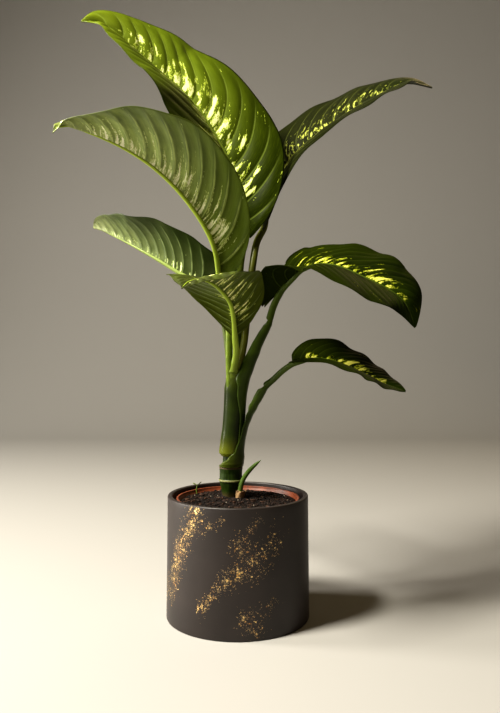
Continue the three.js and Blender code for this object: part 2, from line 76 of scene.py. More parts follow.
# Cover pot, nursery pot and soil. side: radius and height up the side of the soil.
COVER = {"height": 129, "rim": 75, "foot": 76.3, "wall": 5, "floor": 8, "round": 1.4, "bevel": 3}
NURSERY = {"foot_level": 8.3, "height": 117.5, "rim": 66, "foot": 50, "lip": 1.9, "lip_height": 9,
           "wall": 1.5, "ledge": 1, "ledge_drop": 3}
SOIL = {"level": 121, "mound": 3.2, "reach": 26, "crumb": 0.9, "radius": 62.3, "rough": 0.16, "waves": 24,
        "rings": 72, "side": [[AXIS, 10.2], [46, 10.2], [48.2, 13], [61.5, 115]]}

# What lies in the mix: kind, how many, least and most size, stretch, how far they stand out
BITS = [
    ("crumb", 2300, 0.45, 1.5, (1, 0.9, 0.75), 0.25),
    ("bark", 420, 0.8, 1.9, (2.1, 0.7, 0.45), 0.3),
    ("perlite", 70, 0.45, 1.1, (1, 0.9, 0.8), 0.25),
    ("fibre", 160, 0.28, 0.4, (9, 0.7, 0.7), 0.6),
]

# Radius within which they are drawn, radius that none passes, rings and sides of each lump
BITS_SPREAD = 61.5
BITS_REACH = 62
LUMP_RINGS = 4
LUMP_SIDES = 6

# Darkest and palest colour of each kind, and its roughness
BIT_COLOURS = {
    "crumb": ((0.004, 0.002, 0.001), (0.022, 0.011, 0.006), 0.9),
    "bark": ((0.012, 0.005, 0.003), (0.07, 0.03, 0.015), 0.8),
    "perlite": ((0.14, 0.11, 0.08), (0.40, 0.34, 0.26), 0.85),
    "fibre": ((0.02, 0.009, 0.004), (0.09, 0.045, 0.02), 0.85),
}

# Diagonal bands of gold flecks on the cover pot: from and to, each as degrees round from the front and
# height, then half-width in millimetres and how dense they lie
FLECK_BANDS = [
    (-33, 123, -47, 86, 9, 1.0), (-47, 86, -60, 48, 10, 1.0), (-40, 106, -55, 72, 7, 0.7),
    (-57, 62, -65, 30, 7, 0.6), (-12, 116, -28, 104, 3.5, 0.8), (17, 117, 2, 94, 3.5, 0.85),
    (0, 94, 13, 80, 8.5, 0.9), (14, 79, -9, 57, 8.5, 0.95), (30, 96, 14, 66, 11, 0.42),
    (-9, 57, -28, 29, 5, 1.0), (8, 22, 14, 8, 8, 0.85), (26, 34, 12, 12, 8, 0.35),
    (98, 118, 88, 84, 8, 0.9), (88, 84, 106, 52, 10, 0.8), (122, 50, 110, 18, 9, 0.85),
    (140, 116, 124, 76, 8, 0.95), (150, 84, 134, 40, 10, 0.8), (178, 118, 166, 92, 5, 0.8),
    (196, 74, 176, 20, 10, 0.85), (222, 116, 206, 80, 8, 0.9), (250, 66, 232, 24, 9, 0.8),
    (268, 112, 262, 70, 8, 0.85), (286, 44, 276, 12, 8, 0.7),
]

# Line of the cane and of the sheaths round it, and the cane's radius at each height
STEM_LINE = [[-8, 17, 100], [-8, 17, 141], [-7.3, 14, 175], [-4.5, 10, 218], [-3, 6, 266]]
CANE = [[112, 9], [123, 9.2], [130, 10.6], [136, 12], [139.6, 12.6], [140.6, 13.5], [141.8, 13.4],
        [142.8, 12.4], [149, 12.2], [154.4, 12.8], [155.6, 12.6], [156.6, 9.6], [166, 8.9], [176, 8.7]]
CANE_RINGS = 110
CANE_SIDES = 72

# Where no bits lie: x, y and radius round the cane, the offshoot and the seedling
KEEP_OFF = [(STEM_LINE[0][0], STEM_LINE[0][1], 11), (2, 6.6, 5.5), (-47, 36, 1.5)]

# Sheath wall, its thinning to the edges, the wrap from which a sheath closes into a stalk, rings to a row
SHEATH_WALL = 1.5
SHEATH_THINNING = 0.62
STALK_WRAP = 120
STEM_STEPS = 8

# Midrib below the blade. first: share and scale of the rows that leave the stalk.
KEEL = {"first": ((0, 0.95), (0.06, 0.8)), "sink": 0.9, "start": 0.14, "end": 0.97, "rows": 14, "size": 0.8,
        "thinning": 0.82, "depth": 0.45, "rise_at": 0.8, "rise": 0.12}

# Blades: thickness, how far and how bent the cuts across run forward, waves of the margin, the mesh
BLADE = 0.9
VEIN_SWEEP = 0.12
VEIN_BEND = 1.4
WAVE = {"height": 1.3, "turns": 4.5}
SHELL = {"rows": 210, "columns": 32, "start": 0.004, "run": 0.992, "row_crowd": 1.1, "column_crowd": 1.25,
         "thinning": 0.6}

# Side veins on each half, how much they are shifted between the halves and wander, and their relief
VEINS = 15
VEIN_SHIFT = 0.25
VEIN_WANDER = 0.12
WANDER_TURN = 9.0
RELIEF = {"rib": 0.5, "rib_reach": 1.5, "groove": 0.3, "groove_share": 0.07, "quilt": 1.2, "slow": 0.35,
          "fade_in": 7, "fade_out": 0.3}

# Leaves from foot to tip, as in the part's source.
# sheath rows: x, y, z, radius, degrees wrapped. stalk rows: x, y, z, radius. faces and fold: share, value.
LEAVES = {
    "leaf_top": {
        "back": 45, "phase": 0.4, "sheath": [],
        "stalk": [[-3.1, 18, 176.6, 3.8], [-0.4, 13.8, 218, 3.8], [1, 10.5, 266, 3.8], [1.7, 9.5, 300, 3.8],
            [1.2, 8.5, 340, 3.7], [2.8, 8, 377, 3.7]],
        "midrib": [[7, 10, 408], [3, 15, 448], [-10, 21, 491], [-29, 25, 527], [-53, 27, 562],
            [-90, 25, 595], [-128, 18, 627], [-150, 11, 640], [-170, 2, 638]],
        "faces": [[0, -0.1, -0.95, 0.1], [0.33, 0.4, -0.8, 0.45], [0.67, 0.6, -0.6, 0.5],
            [1, 0.3, -0.7, 0.65]],
        "fold": [[0, 36], [0.5, 30], [1, 28]], "curl": [22, 22], "width": 74, "wide_at": 0.4, "point": 0.94,
        "lobe": 0.02, "look": "bright",
    },
    "leaf_upper_right": {
        "back": -35, "phase": 1.7, "sheath": [],
        "stalk": [[-3.1, 10, 176.6, 3.8], [-0.4, 6, 218, 3.8], [2.5, 1.8, 266, 3.8], [7.2, 1.2, 296, 3.8],
            [11.3, 5, 337.5, 3.8], [16.2, 14, 379, 3.9], [20.5, 24, 403, 3.9]],
        "midrib": [[26.5, 34, 423], [34, 46, 455], [54.5, 60, 498], [77, 68, 525], [120, 80, 560],
            [168, 90, 591], [203, 95, 607], [234, 93, 601]],
        "faces": [[0, -0.72, -0.6, 0.35], [0.33, -0.65, -0.55, 0.55], [0.67, -0.5, -0.5, 0.75],
            [1, -0.1, -0.4, 0.9]],
        "fold": [[0, 31], [0.5, 23], [1, 16]], "curl": [17, 18], "width": 56, "wide_at": 0.41,
        "point": 0.68, "lobe": 0.045, "look": "netted",
    },
    "leaf_upper_left": {
        "back": 215, "phase": 2.6, "sheath": [],
        "stalk": [[-11.2, 10, 176.6, 3.8], [-8.6, 6.2, 218, 3.8], [-8.8, 2, 250, 3.8],
            [-9.6, -0.5, 275, 3.8], [-9.6, -1, 305, 3.8], [-12.8, -1, 330, 3.7]],
        "midrib": [[-17.5, -1, 353], [-20.5, -6, 378], [-29, -17, 404], [-54, -32, 440], [-83, -50, 466],
            [-115, -68, 483], [-149, -85, 493], [-165, -95, 494], [-171, -103, 484]],
        "faces": [[0, 0.75, 0.6, 0.25], [0.33, 0.58, 0.65, 0.48], [0.67, 0.52, 0.48, 0.62],
            [1, 0.35, 0.2, 0.9]],
        "fold": [[0, 48], [0.35, 48], [0.65, 41], [1, 30]], "curl": [14, 12], "width": 61, "wide_at": 0.372,
        "point": 1.35, "lobe": 0, "look": "satin",
    },
    "leaf_mid_left": {
        "back": 135, "phase": 3.3, "sheath": [],
        "stalk": [[-11.2, 18, 176.6, 3.6], [-8.8, 14.2, 218, 3.6], [-9.5, 10.5, 266, 3.6],
            [-13.6, 14, 303, 3.5], [-19.5, 26, 334, 3.3]],
        "midrib": [[-28, 40, 355], [-44, 44, 362], [-63, 50, 370.5], [-97, 62, 391.5], [-135, 78, 413.5],
            [-165, 94, 429], [-179, 108, 435]],
        "faces": [[0, 0.5, 0.65, 0.55], [0.33, 0.3, 0.5, 0.75], [0.67, 0.15, 0.25, 0.92],
            [1, 0.25, 0.45, 0.8]],
        "fold": [[0, 48], [0.5, 45], [1, 30]], "curl": [14, 10], "width": 44, "wide_at": 0.31,
        "point": 0.72, "lobe": 0.07, "look": "grey",
    },
    "leaf_front": {
        "back": -100, "phase": 4.1,
        "sheath": [[-7.6, 14.6, 168, 11, 150], [-8.5, 14.4, 171.5, 12.5, 150], [-7.6, 13.2, 184, 12, 150],
            [-5.9, 12, 199, 11.5, 150], [-4.5, 10, 218, 11.4, 130], [-3.9, 8.5, 240, 11.2, 105],
            [-3.9, 6, 252, 9.4, 85], [-3.8, 1.8, 258.5, 6.9, 80]],
        "stalk": [[-3.6, -6.5, 266, 3.9], [-1.8, -11, 281, 3.4]],
        "midrib": [[-2.6, -15, 296], [-4, -28, 316], [-7, -40, 331], [-15, -56, 341.5], [-24, -75, 348],
            [-34, -95, 350], [-42, -116, 345], [-48, -133, 337]],
        "faces": [[0, 0.05, 0.95, 0.35], [0.33, 0.05, 0.55, 0.83], [0.67, 0.05, 0.1, 1],
            [1, 0, -0.45, 0.88]],
        "fold": [[0, 21], [0.5, 17], [1, 6]], "curl": [13, 9], "width": 46, "wide_at": 0.42, "point": 1.35,
        "lobe": 0.01, "look": "front",
    },
    "leaf_mid_right": {
        "back": -8, "phase": 5.2,
        "sheath": [[-7.5, 14.5, 168, 12.9, 50], [-5.4, 11, 206, 12.9, 45], [-2, 8, 241, 12.7, 75],
            [3.2, 6, 256, 11.4, 105], [12.6, 3.5, 274, 8.6, 125], [19.6, 2, 289, 7.2, 130],
            [25.4, 1, 300, 6.6, 128], [30.2, 0.6, 309, 5.9, 120], [32.2, 0.5, 313, 4.9, 105]],
        "stalk": [[34, 0.4, 317, 3.9], [37.6, 0.6, 329, 3.8]],
        "midrib": [[41, 2, 343], [46, 0, 350], [54.5, -8, 357], [66, -14, 368], [82, -20, 373],
            [103, -30, 370], [130, -40, 357], [152, -46, 345], [168, -48, 332], [180, -46, 305]],
        "faces": [[0, -0.6, 0.3, 0.7], [0.12, -0.5, 0.1, 0.8], [0.24, -0.1, -0.38, 0.9],
            [0.36, 0.2, -0.5, 0.85], [0.7, 0.3, -0.65, 0.7], [1, 0.72, -0.6, 0.3]],
        "fold": [[0, 58], [0.12, 47], [0.26, 17], [1, 15]], "curl": [12, 14], "width": 52, "wide_at": 0.43,
        "point": 0.78, "lobe": 0.11, "look": "dark",
    },
    "leaf_low_right": {
        "back": -12, "phase": 0.9,
        "sheath": [[-7.7, 15.5, 156.3, 13.2, 168], [-7.6, 15.2, 160.5, 14, 125], [-7.5, 15, 166, 14.4, 92],
            [-7.2, 14.3, 175, 14, 60], [-4.5, 13, 190, 13.5, 44], [0.4, 11, 204, 12.5, 46],
            [8.6, 8.5, 216, 9.8, 70], [16.7, 6, 226, 7, 108], [22.8, 4.5, 236, 6.6, 120],
            [25.6, 3.6, 241, 6.3, 122], [27.8, 2.8, 243.1, 5.1, 105]],
        "stalk": [[30.5, 2, 245.5, 3.9], [37.2, -0.5, 251, 3.3], [47.6, -5, 261, 3.2]],
        "midrib": [[57, -10.5, 270.5], [73, -17, 274], [88, -19, 274], [103, -19, 271], [132, -17, 259],
            [152, -18, 249], [176, -21, 240]],
        "faces": [[0, -0.05, -0.45, 0.88], [0.33, 0.05, -0.45, 0.88], [0.67, 0.27, -0.37, 0.88],
            [1, 0.3, -0.4, 0.85]],
        "fold": [[0, 35], [0.5, 27], [1, 19]], "curl": [20, 24], "width": 32, "wide_at": 0.33,
        "point": 0.66, "lobe": 0.01, "look": "dark",
    },
}

# Young shoot and its second tip, the dry scale at its foot, its closed side and wall, and the weed
OFFSHOOT = [[2, 6.6, 115, 2.5], [1.8, 6.4, 124, 2.7], [2.6, 6.2, 134, 2.7], [5.6, 6, 143.5, 2.6],
            [11.8, 5, 152.6, 2.4], [18.5, 4.4, 159.4, 1.9], [24.3, 4, 164.2, 0.5]]
OFFSHOOT_PRONG = [[15.6, 4.9, 157.2, 1.4], [19.2, 4.6, 160.8, 1.1], [21.6, 4.4, 162.8, 0.45]]
HUSK = [[2, 6.5, 117, 4.1, 150], [2, 6.4, 124, 4.6, 140], [2.8, 6.2, 129, 5.2, 120],
        [3.4, 6.1, 132, 5.9, 95]]
HUSK_BACK = -60
HUSK_WALL = 0.9
SEEDLING = [[-47, 36, 115, 0.8], [-47, 36, 121, 0.8], [-47.3, 36, 127, 0.7], [-46.6, 36, 131, 0.6]]
SEED_LEAVES = [[-43, 35.6, 134.4], [-50.2, 36.4, 133.2]]
SEED_LEAF = {"reach": 1.35, "half_width": 1.6, "thick": 0.35, "cup": 0.5, "rows": 14, "sides": 12}

# Looks of the leaves: each row holds one value for each of the names. Greens: upper face deep, at the base
# (painted shade at the blade's foot and along its margin) and light, under face, veins, rim and core of a
# splash, tip, foot of the stalk, stalk deep and light, and keel. arch: share of the length that side veins
# run
# on towards the tip. streak: width and length of a splash in millimetres, as it runs along the veins. band:
# share of the half-width at which splashes begin, and at which they end on the left and on the right.
# cover:
# how much they fill. quilt: how strongly the blade bulges between its side veins. gloss: of its wax.
# Some looks are lit and shaded copies of the same greens: the satin under face is set paler as painted
# light where its leaf gets little light, and the front and dark leaves, stalks too, are set darker as
# painted shade.
LOOK_NAMES = ("bright", "satin", "grey", "front", "netted", "dark")
LOOK_ROWS = {
    "deep": [(0.066, 0.093, 0.003), (0.04, 0.063, 0.006), (0.022, 0.036, 0.006), (0.026, 0.032, 0.005),
             (0.009, 0.011, 0.0025), (0.006, 0.01, 0.001)],
    "base": [(0.008, 0.013, 0.0005), (0.105, 0.15, 0.012), (0.008, 0.013, 0.001), (0.05, 0.064, 0.004),
             (0.009, 0.011, 0.0025), (0.013, 0.019, 0.001)],
    "light": [(0.096, 0.132, 0.006), (0.22, 0.3, 0.056), (0.098, 0.135, 0.039), (0.062, 0.083, 0.009),
              (0.017, 0.02, 0.004), (0.014, 0.021, 0.001)],
    "under": [(0.09, 0.105, 0.006), (0.45, 0.56, 0.145), (0.2, 0.245, 0.085), (0.128, 0.18, 0.027),
              (0.022, 0.027, 0.007), (0.034, 0.054, 0.009)],
    "vein": [(0.24, 0.31, 0.06), (0.44, 0.52, 0.15), (0.17, 0.21, 0.085), (0.18, 0.23, 0.065),
             (0.12, 0.14, 0.03), (0.055, 0.08, 0.012)],
    "rim": [(0.33, 0.4, 0.05), (0.56, 0.64, 0.22), (0.25, 0.31, 0.1), (0.34, 0.4, 0.07), (0.18, 0.2, 0.03),
            (0.21, 0.24, 0.012)],
    "core": [(0.68, 0.7, 0.34), (0.94, 0.95, 0.66), (0.54, 0.58, 0.31), (0.84, 0.82, 0.42),
             (0.38, 0.4, 0.1), (0.66, 0.64, 0.13)],
    "tip": [(0.115, 0.15, 0.006), (0.24, 0.28, 0.07), (0.2, 0.22, 0.09), (0.03, 0.034, 0.008),
            (0.012, 0.018, 0.003), (0.034, 0.062, 0.002)],
    "collar": [(0.09, 0.12, 0.01), (0.14, 0.18, 0.014), (0.09, 0.12, 0.01), (0.11, 0.125, 0.006),
               (0.11, 0.12, 0.012), (0.055, 0.07, 0.004)],
    "stalk": [(0.03, 0.046, 0.005), (0.06, 0.092, 0.008), (0.026, 0.04, 0.005), (0.007, 0.012, 0.001),
              (0.05, 0.056, 0.005), (0.022, 0.038, 0.003)],
    "stalk_light": [(0.09, 0.13, 0.018), (0.22, 0.3, 0.034), (0.09, 0.12, 0.018), (0.022, 0.036, 0.002),
                    (0.11, 0.12, 0.012), (0.055, 0.088, 0.01)],
    "keel": [(0.24, 0.31, 0.04), (0.4, 0.52, 0.06), (0.22, 0.28, 0.07), (0.34, 0.45, 0.05),
             (0.12, 0.13, 0.02), (0.06, 0.09, 0.01)],
    "arch": [0.13, 0.1, 0.12, 0.12, 0.15, 0.24],
    "streak": [(6.0, 19), (3.4, 26), (3.8, 15), (3.2, 24), (4.2, 9), (4.6, 17)],
    "band": [(0.04, 0.66, 0.76), (0.02, 0.66, 0.66), (0.03, 0.5, 0.5), (0.05, 0.9, 0.46), (0.02, 0.8, 0.8),
             (0.04, 0.62, 0.16)],
    "cover": [0.03, 0.075, 0.035, 0.02, -0.022, 0.05],
    "quilt": [1.3, 2.5, 1.3, 1.0, 0.5, 0.4],
    "gloss": [0.16, 0.7, 0.26, 0.3, 0.16, 0.03],
}
LOOKS = {name: {key: row[k] for key, row in LOOK_ROWS.items()} for k, name in enumerate(LOOK_NAMES)}

# Greens of the offshoot and the seedling
SHOOT = {"collar": (0.12, 0.15, 0.03), "stalk": (0.036, 0.07, 0.008), "stalk_light": (0.12, 0.19, 0.04),
         "keel": (0.12, 0.19, 0.04)}

# Where a blade would begin on a stalk that has none, in metres: beyond its end
NO_BLADE = 9.0


# Curves

def catmull(rows):
    """The centripetal curve through rows, as (segment count, function of segment and share)."""
    points = np.asarray(rows, float)[:, :3]
    ends = np.vstack([2 * points[0] - points[1], points, 2 * points[-1] - points[-2]])

    def point(segment, share):
        p0, p1, p2, p3 = ends[segment:segment + 4]
        d0, d1, d2 = [max(np.sum((b - a) ** 2) ** 0.25, 1e-4) for a, b in ((p0, p1), (p1, p2), (p2, p3))]
        t1 = ((p1 - p0) / d0 - (p2 - p0) / (d0 + d1) + (p2 - p1) / d1) * d1
        t2 = ((p2 - p1) / d1 - (p3 - p1) / (d1 + d2) + (p3 - p2) / d2) * d1
        square = 2 * p1 - 2 * p2 + t1 + t2
        return p1 + t1 * share + (3 * p2 - 3 * p1 - 2 * t1 - t2) * share ** 2 + square * share ** 3

    return len(points) - 1, point


def unit(vectors):
    """Vectors at length 1."""
    return vectors / np.maximum(np.linalg.norm(vectors, axis=-1, keepdims=True), 1e-9)


def smooth(t):
    """A share of 0 to 1, eased at both ends."""
    t = np.clip(t, 0, 1)
    return t * t * (3 - 2 * t)


def round_way(count):
    """Angles evenly round a circle."""
    return np.linspace(0, 2 * np.pi, count, endpoint=False)


def together(*parts):
    """Arrays broadcast together, as the coordinates of points."""
    return np.stack(np.broadcast_arrays(*parts), -1)


def table_at(share, shares, table):
    """A table's rows read between the shares at which they stand."""
    return np.stack([np.interp(share, shares, column) for column in table.T], -1)


class Midrib:
    """The line of a blade's midrib with its frames, read by share of its length."""

    SAMPLES = 500

    def __init__(self, leaf):
        count, point = catmull(leaf["midrib"])
        fine = np.array([point(k, s) for k in range(count) for s in np.linspace(0, 1, 60, endpoint=False)]
                        + [point(count - 1, 1.0)])
        run = np.concatenate([[0], np.cumsum(np.linalg.norm(np.diff(fine, axis=0), axis=1))])
        self.length = run[-1]
        self.shares = np.linspace(0, 1, self.SAMPLES)
        self.line = table_at(self.shares * self.length, run, fine)
        self.along = unit(np.gradient(self.line, axis=0))
        faces = np.array(leaf["faces"], float)
        up = table_at(self.shares, faces[:, 0], faces[:, 1:])
        self.up = unit(up - np.sum(up * self.along, 1, keepdims=True) * self.along)
        self.across = np.cross(self.along, self.up)

    def at(self, name, share):
        """One of the tables (line, along, up, across) at the shares given."""
        return table_at(share, self.shares, getattr(self, name))


# Meshes

class Skin:
    """Points, faces, map places and material slots gathered for one mesh."""

    def __init__(self):
        self.points, self.faces, self.places, self.slots = [], [], [], []
        self.count = 0

    def tube(self, points, places, slots=0):
        """Quads over rows of rings, with a cap at each end. places holds one column more than points, where
        the rings close.
        """
        rows, columns = points.shape[:2]
        slots = [int(slot) for slot in np.broadcast_to(slots, columns)]
        first, last = self.count, self.count + (rows - 1) * columns
        for i in range(rows - 1):
            low, high = first + i * columns, first + (i + 1) * columns
            for j in range(columns):
                k = (j + 1) % columns
                self.faces.append((low + j, low + k, high + k, high + j))
                self.places += [places[i, j], places[i, j + 1], places[i + 1, j + 1], places[i + 1, j]]
            self.slots += slots
        ring = range(columns)
        self.faces += [tuple(first + j for j in reversed(ring)), tuple(last + j for j in ring)]
        self.places += [places[0, 0]] * columns + [places[-1, 0]] * columns
        self.slots += [slots[0]] * 2
        self.points.append(points.reshape(-1, 3))
        self.count += rows * columns

    def build(self, name, materials, slot, *nodes):
        """The piece, in metres, riding on the body in place of the nodes named."""
        mesh = bpy.data.meshes.new(name)
        mesh.from_pydata(np.concatenate(self.points) * MM, [], self.faces)
        layer = mesh.uv_layers.new(name=MAP)
        layer.uv.foreach_set("vector", np.array(self.places, np.float32).ravel())
        for material in materials:
            mesh.materials.append(material)
        mesh.polygons.foreach_set("material_index", np.array(self.slots, np.int32))
        mesh.shade_smooth()
        mesh.update()
        piece = linked(name, mesh)
        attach(piece, BODY)
        if nodes:
            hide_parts(*nodes)
        return piece


def linked(name, data):
    """A new object in the scene."""
    thing = bpy.data.objects.new(name, data)
    bpy.context.scene.collection.objects.link(thing)
    return thing


# Sheaths and stalks

def as_sheath(rows):
    """Rows of x, y, z, radius, wrap as an open sheath's."""
    return [[*row, 0] for row in rows]


def as_stalk(rows):
    """Rows of x, y, z, radius as a closed stalk's."""
    return [[*row, STALK_WRAP, 1] for row in rows]


def section(radius, wrap, solid, half, wall):
    """Outline round a sheath (solid = 0) or a stalk (solid = 1), in the plane of its ring."""
    share = np.concatenate([np.linspace(-1, 1, half), np.linspace(1, -1, half)])
    outside = np.arange(2 * half) < half
    depth = wall * (1 - SHEATH_THINNING * share ** 2)
    opened = np.where(outside, radius, radius - depth)
    turn = share * math.radians(wrap)
    whole = math.pi * (2 * np.arange(2 * half) - half + 1) / (2 * half)
    ring = np.stack([np.cos(turn) * opened, np.sin(turn) * opened], 1)
    circle = np.stack([np.cos(whole), np.sin(whole)], 1) * radius
    return ring + (circle - ring) * solid


def sweep(rows, back, half=20, wall=SHEATH_WALL):
    """Points of rings swept along rows of x, y, z, radius, wrap, solid, and their map places."""
    count, point = catmull(rows)
    side = np.array([math.cos(math.radians(back)), math.sin(math.radians(back)), 0])
    rings, places, run, before = [], [], 0.0, None
    for i in range(count * STEM_STEPS + 1):
        segment = min(i // STEM_STEPS, count - 1)
        share = i / STEM_STEPS - segment
        start, end = np.array(rows[segment][3:], float), np.array(rows[segment + 1][3:], float)
        radius, wrap, solid = start + (end - start) * smooth(share)
        centre = point(segment, share)
        tangent = point(segment, min(share + 0.01, 1.0)) - point(segment, max(share - 0.01, 0.0))
        along = unit(unit(tangent) * solid + np.array([0, 0, 1.0]) * (1 - solid))
        outward = unit(side - np.dot(side, along) * along)
        across = np.cross(along, outward)
        outline = section(radius, wrap, solid, half, wall)
        rings.append(centre + outline[:, :1] * outward + outline[:, 1:] * across)
        run += 0 if before is None else np.linalg.norm(centre - before)
        before = centre
        places.append([(run * MM, k / (2 * half)) for k in range(2 * half + 1)])
    return np.array(rings), np.array(places)


def keel_rows(leaf, rib):
    """Rows of the midrib below the blade, from the stalk's end to the tip."""
    radius = leaf["stalk"][-1][3]
    rows = []
    for share, scale in KEEL["first"]:
        centre = rib.at("line", share) - KEEL["sink"] * radius * scale * rib.at("up", share)
        rows.append([*centre, radius * scale])
    for share in np.linspace(KEEL["start"], KEEL["end"], KEEL["rows"]):
        thick = KEEL["size"] * radius * (1 - KEEL["thinning"] * share)
        rises = smooth((share - KEEL["rise_at"]) / KEEL["rise"])
        sunk = (0.5 * BLADE + KEEL["depth"] * thick) * (1 - rises)
        rows.append([*(rib.at("line", share) - sunk * rib.at("up", share)), thick])
    return as_stalk(rows)


# Blades

def blade_width(leaf, t):
    """Half-width at each share of the length."""
    root = leaf["point"] * leaf["wide_at"] / (1 - leaf["wide_at"])
    widest = leaf["wide_at"] ** root * (1 - leaf["wide_at"]) ** leaf["point"]
    return leaf["width"] * t ** root * (1 - t) ** leaf["point"] / widest


def vein_share(leaf, t, q):
    """Where along the midrib the side vein through a point sets out."""
    arch = LOOKS[leaf["look"]]["arch"]
    return t - arch * np.sin(np.pi * np.clip(t, 0, 1)) ** 0.7 * q ** VEIN_BEND


def relief(leaf, t, q, side, width):
    """How far the upper face stands up: a groove at the midrib, side veins, quilting and slow waves."""
    reach, phase = q * width, leaf["phase"]
    groove = -RELIEF["rib"] * np.exp(-(reach / RELIEF["rib_reach"]) ** 2)
    foot = vein_share(leaf, t, q)
    beat = foot * VEINS + VEIN_SHIFT * side + VEIN_WANDER * np.sin(WANDER_TURN * foot + phase)
    near = np.abs(beat - np.round(beat))
    quilt = RELIEF["quilt"] * np.sin(np.pi * near) * (1 - 0.3 * q)
    veins = quilt - RELIEF["groove"] * np.exp(-(near / RELIEF["groove_share"]) ** 2)
    fade = smooth(reach / RELIEF["fade_in"]) * smooth((1 - q) / RELIEF["fade_out"])
    slow = RELIEF["slow"] * np.sin(5.1 * t + 2.3 * q * side + phase) * np.sin(13 * t + 1.7 * phase + side)
    return groove + veins * (fade * LOOKS[leaf["look"]]["quilt"]) + slow * q * np.sin(np.pi * t)


def blade_points(leaf, rib, t, s):
    """Upper face at shares t along the side veins' feet and s across, from -1 to 1."""
    t, s = np.broadcast_arrays(t, s)
    q, side = np.abs(s), np.where(s < 0, -1.0, 1.0)
    back = -leaf["lobe"] * (1 - t) ** 6
    forward = VEIN_SWEEP * np.sin(np.pi * t) * (1 - t) ** 0.3
    at = t + (back + forward) * q ** VEIN_BEND
    inside = np.clip(at, 0, 1)
    fold_rows = np.array(leaf["fold"], float)
    fold = np.radians(np.interp(inside, fold_rows[:, 0], fold_rows[:, 1]))
    curl = np.radians(np.where(side < 0, leaf["curl"][0], leaf["curl"][1]))
    width = blade_width(leaf, t)
    over = width / curl * (np.sin(fold) - np.sin(fold - curl * q))
    ripple = np.sin(2 * np.pi * WAVE["turns"] * t + leaf["phase"] + side)
    lift = width / curl * (np.cos(fold - curl * q) - np.cos(fold))
    lift = lift + WAVE["height"] * q * q * np.sin(np.pi * t) * ripple
    lift = lift + relief(leaf, t, q, side, width)
    spine = rib.at("line", inside) + (np.minimum(at, 0) * rib.length)[..., None] * rib.along[0]
    sideways = (side * over)[..., None] * rib.at("across", inside)
    return spine + sideways + lift[..., None] * rib.at("up", inside)


def blade_shell(leaf, rib, skin):
    """Upper and lower faces as one closed tube of flat sections."""
    rows = np.linspace(0, 1, SHELL["rows"])[:, None] ** SHELL["row_crowd"]
    t = SHELL["start"] + SHELL["run"] * rows
    half = np.linspace(0, 1, SHELL["columns"]) ** SHELL["column_crowd"]
    s = np.concatenate([-half[::-1], half[1:]])[None, :]
    upper = blade_points(leaf, rib, t, s)
    normal = unit(np.cross(np.gradient(upper, axis=0), np.gradient(upper, axis=1)))
    thick = BLADE * (1 - SHELL["thinning"] * np.abs(s) ** 3)[..., None]
    facing = np.sum(normal * rib.at("up", np.broadcast_to(t, upper.shape[:2])), -1).mean()
    lower = upper - np.sign(facing) * thick * normal
    ring = np.concatenate([upper, lower[:, ::-1]], 1)
    across = np.concatenate([s[0], s[0, ::-1], s[0, :1]])
    foot = vein_share(leaf, t, np.abs(across[None, :]))
    wide = s.shape[1]
    slots = np.concatenate([np.zeros(wide), np.ones(wide)])
    skin.tube(ring, together(foot, 0.5 + 0.5 * across[None, :]), slots)


def make_leaf(name, leaf):
    """Blade, midrib, stalk and sheath of one leaf as one piece, in place of its node."""
    rib = Midrib(leaf)
    skin = Skin()
    blade_shell(leaf, rib, skin)
    rows = as_sheath(leaf["sheath"]) + as_stalk(leaf["stalk"])
    points, places = sweep(rows + keel_rows(leaf, rib), leaf["back"])
    blade_at = float(places[len(rows) * STEM_STEPS, 0, 0])
    skin.tube(points, places, slots=2)
    look = LOOKS[leaf["look"]]
    skin.build(f"{name}_fine", [
        upper_surface(f"{name}_upper", leaf, rib, look),
        under_surface(f"{name}_under", leaf, rib, look),
        stalk_surface(f"{name}_stalk", look, blade_at),
    ], "leaf_dark" if leaf["look"] in ("dark", "netted") else "leaf_light", name)


# Pots and soil

def lathe(profile, sides, lift=None, level_rows=0):
    """The skin of a profile of radius and height turned about the axis, from axis to axis. The rows after
    the level ones are lifted. The map holds the way round and the height.
    """
    turn = round_way(sides)
    profile = np.array(profile, float)
    radius, height = profile[:, :1], profile[:, 1:]
    points = together(radius * np.cos(turn), radius * np.sin(turn), height)
    if lift is not None:
        raised = points[level_rows:]
        raised[..., 2] += lift(raised[..., 0], raised[..., 1])
    skin = Skin()
    skin.tube(points, together(np.linspace(0, 1, sides + 1)[None, :], height * MM))
    return skin


def dense(profile, step):
    """The profile with points added so that none lies further than step from the next."""
    out = [profile[0]]
    for start, end in zip(profile, profile[1:]):
        count = max(1, math.ceil(math.dist(start, end) / step))
        for k in range(1, count + 1):
            out.append([start[i] + (end[i] - start[i]) * k / count for i in range(2)])
    return out


def arc(centre, radius, start, end):
    """Points of an arc in a profile, in degrees from the outward direction."""
    turns = np.radians(np.linspace(start, end, ARC_POINTS))
    return [[centre[0] + radius * math.cos(a), centre[1] + radius * math.sin(a)] for a in turns]


def cover_pot():
    """The outer pot, with rounded rim and foot."""
    bend, height, rim, foot = COVER["round"], COVER["height"], COVER["rim"], COVER["foot"]
    inner, floor, bevel = rim - COVER["wall"], COVER["floor"], COVER["bevel"]
    profile = [[AXIS, 0], [foot - bevel, 0]]
    profile += arc((foot - bend, bend), bend, -90, 0)
    profile += arc((rim - bend, height - bend), bend, 0, 90)
    profile += arc((inner + bend, height - bend), bend, 90, 180)
    profile += [[inner, floor + bevel], [inner - bevel, floor], [AXIS, floor]]
    skin = lathe(dense(profile, step=6), sides=192)
    mark_flecks(skin.build("cover_pot_fine", [charcoal_glaze()], "cover_pot", "cover_pot"))


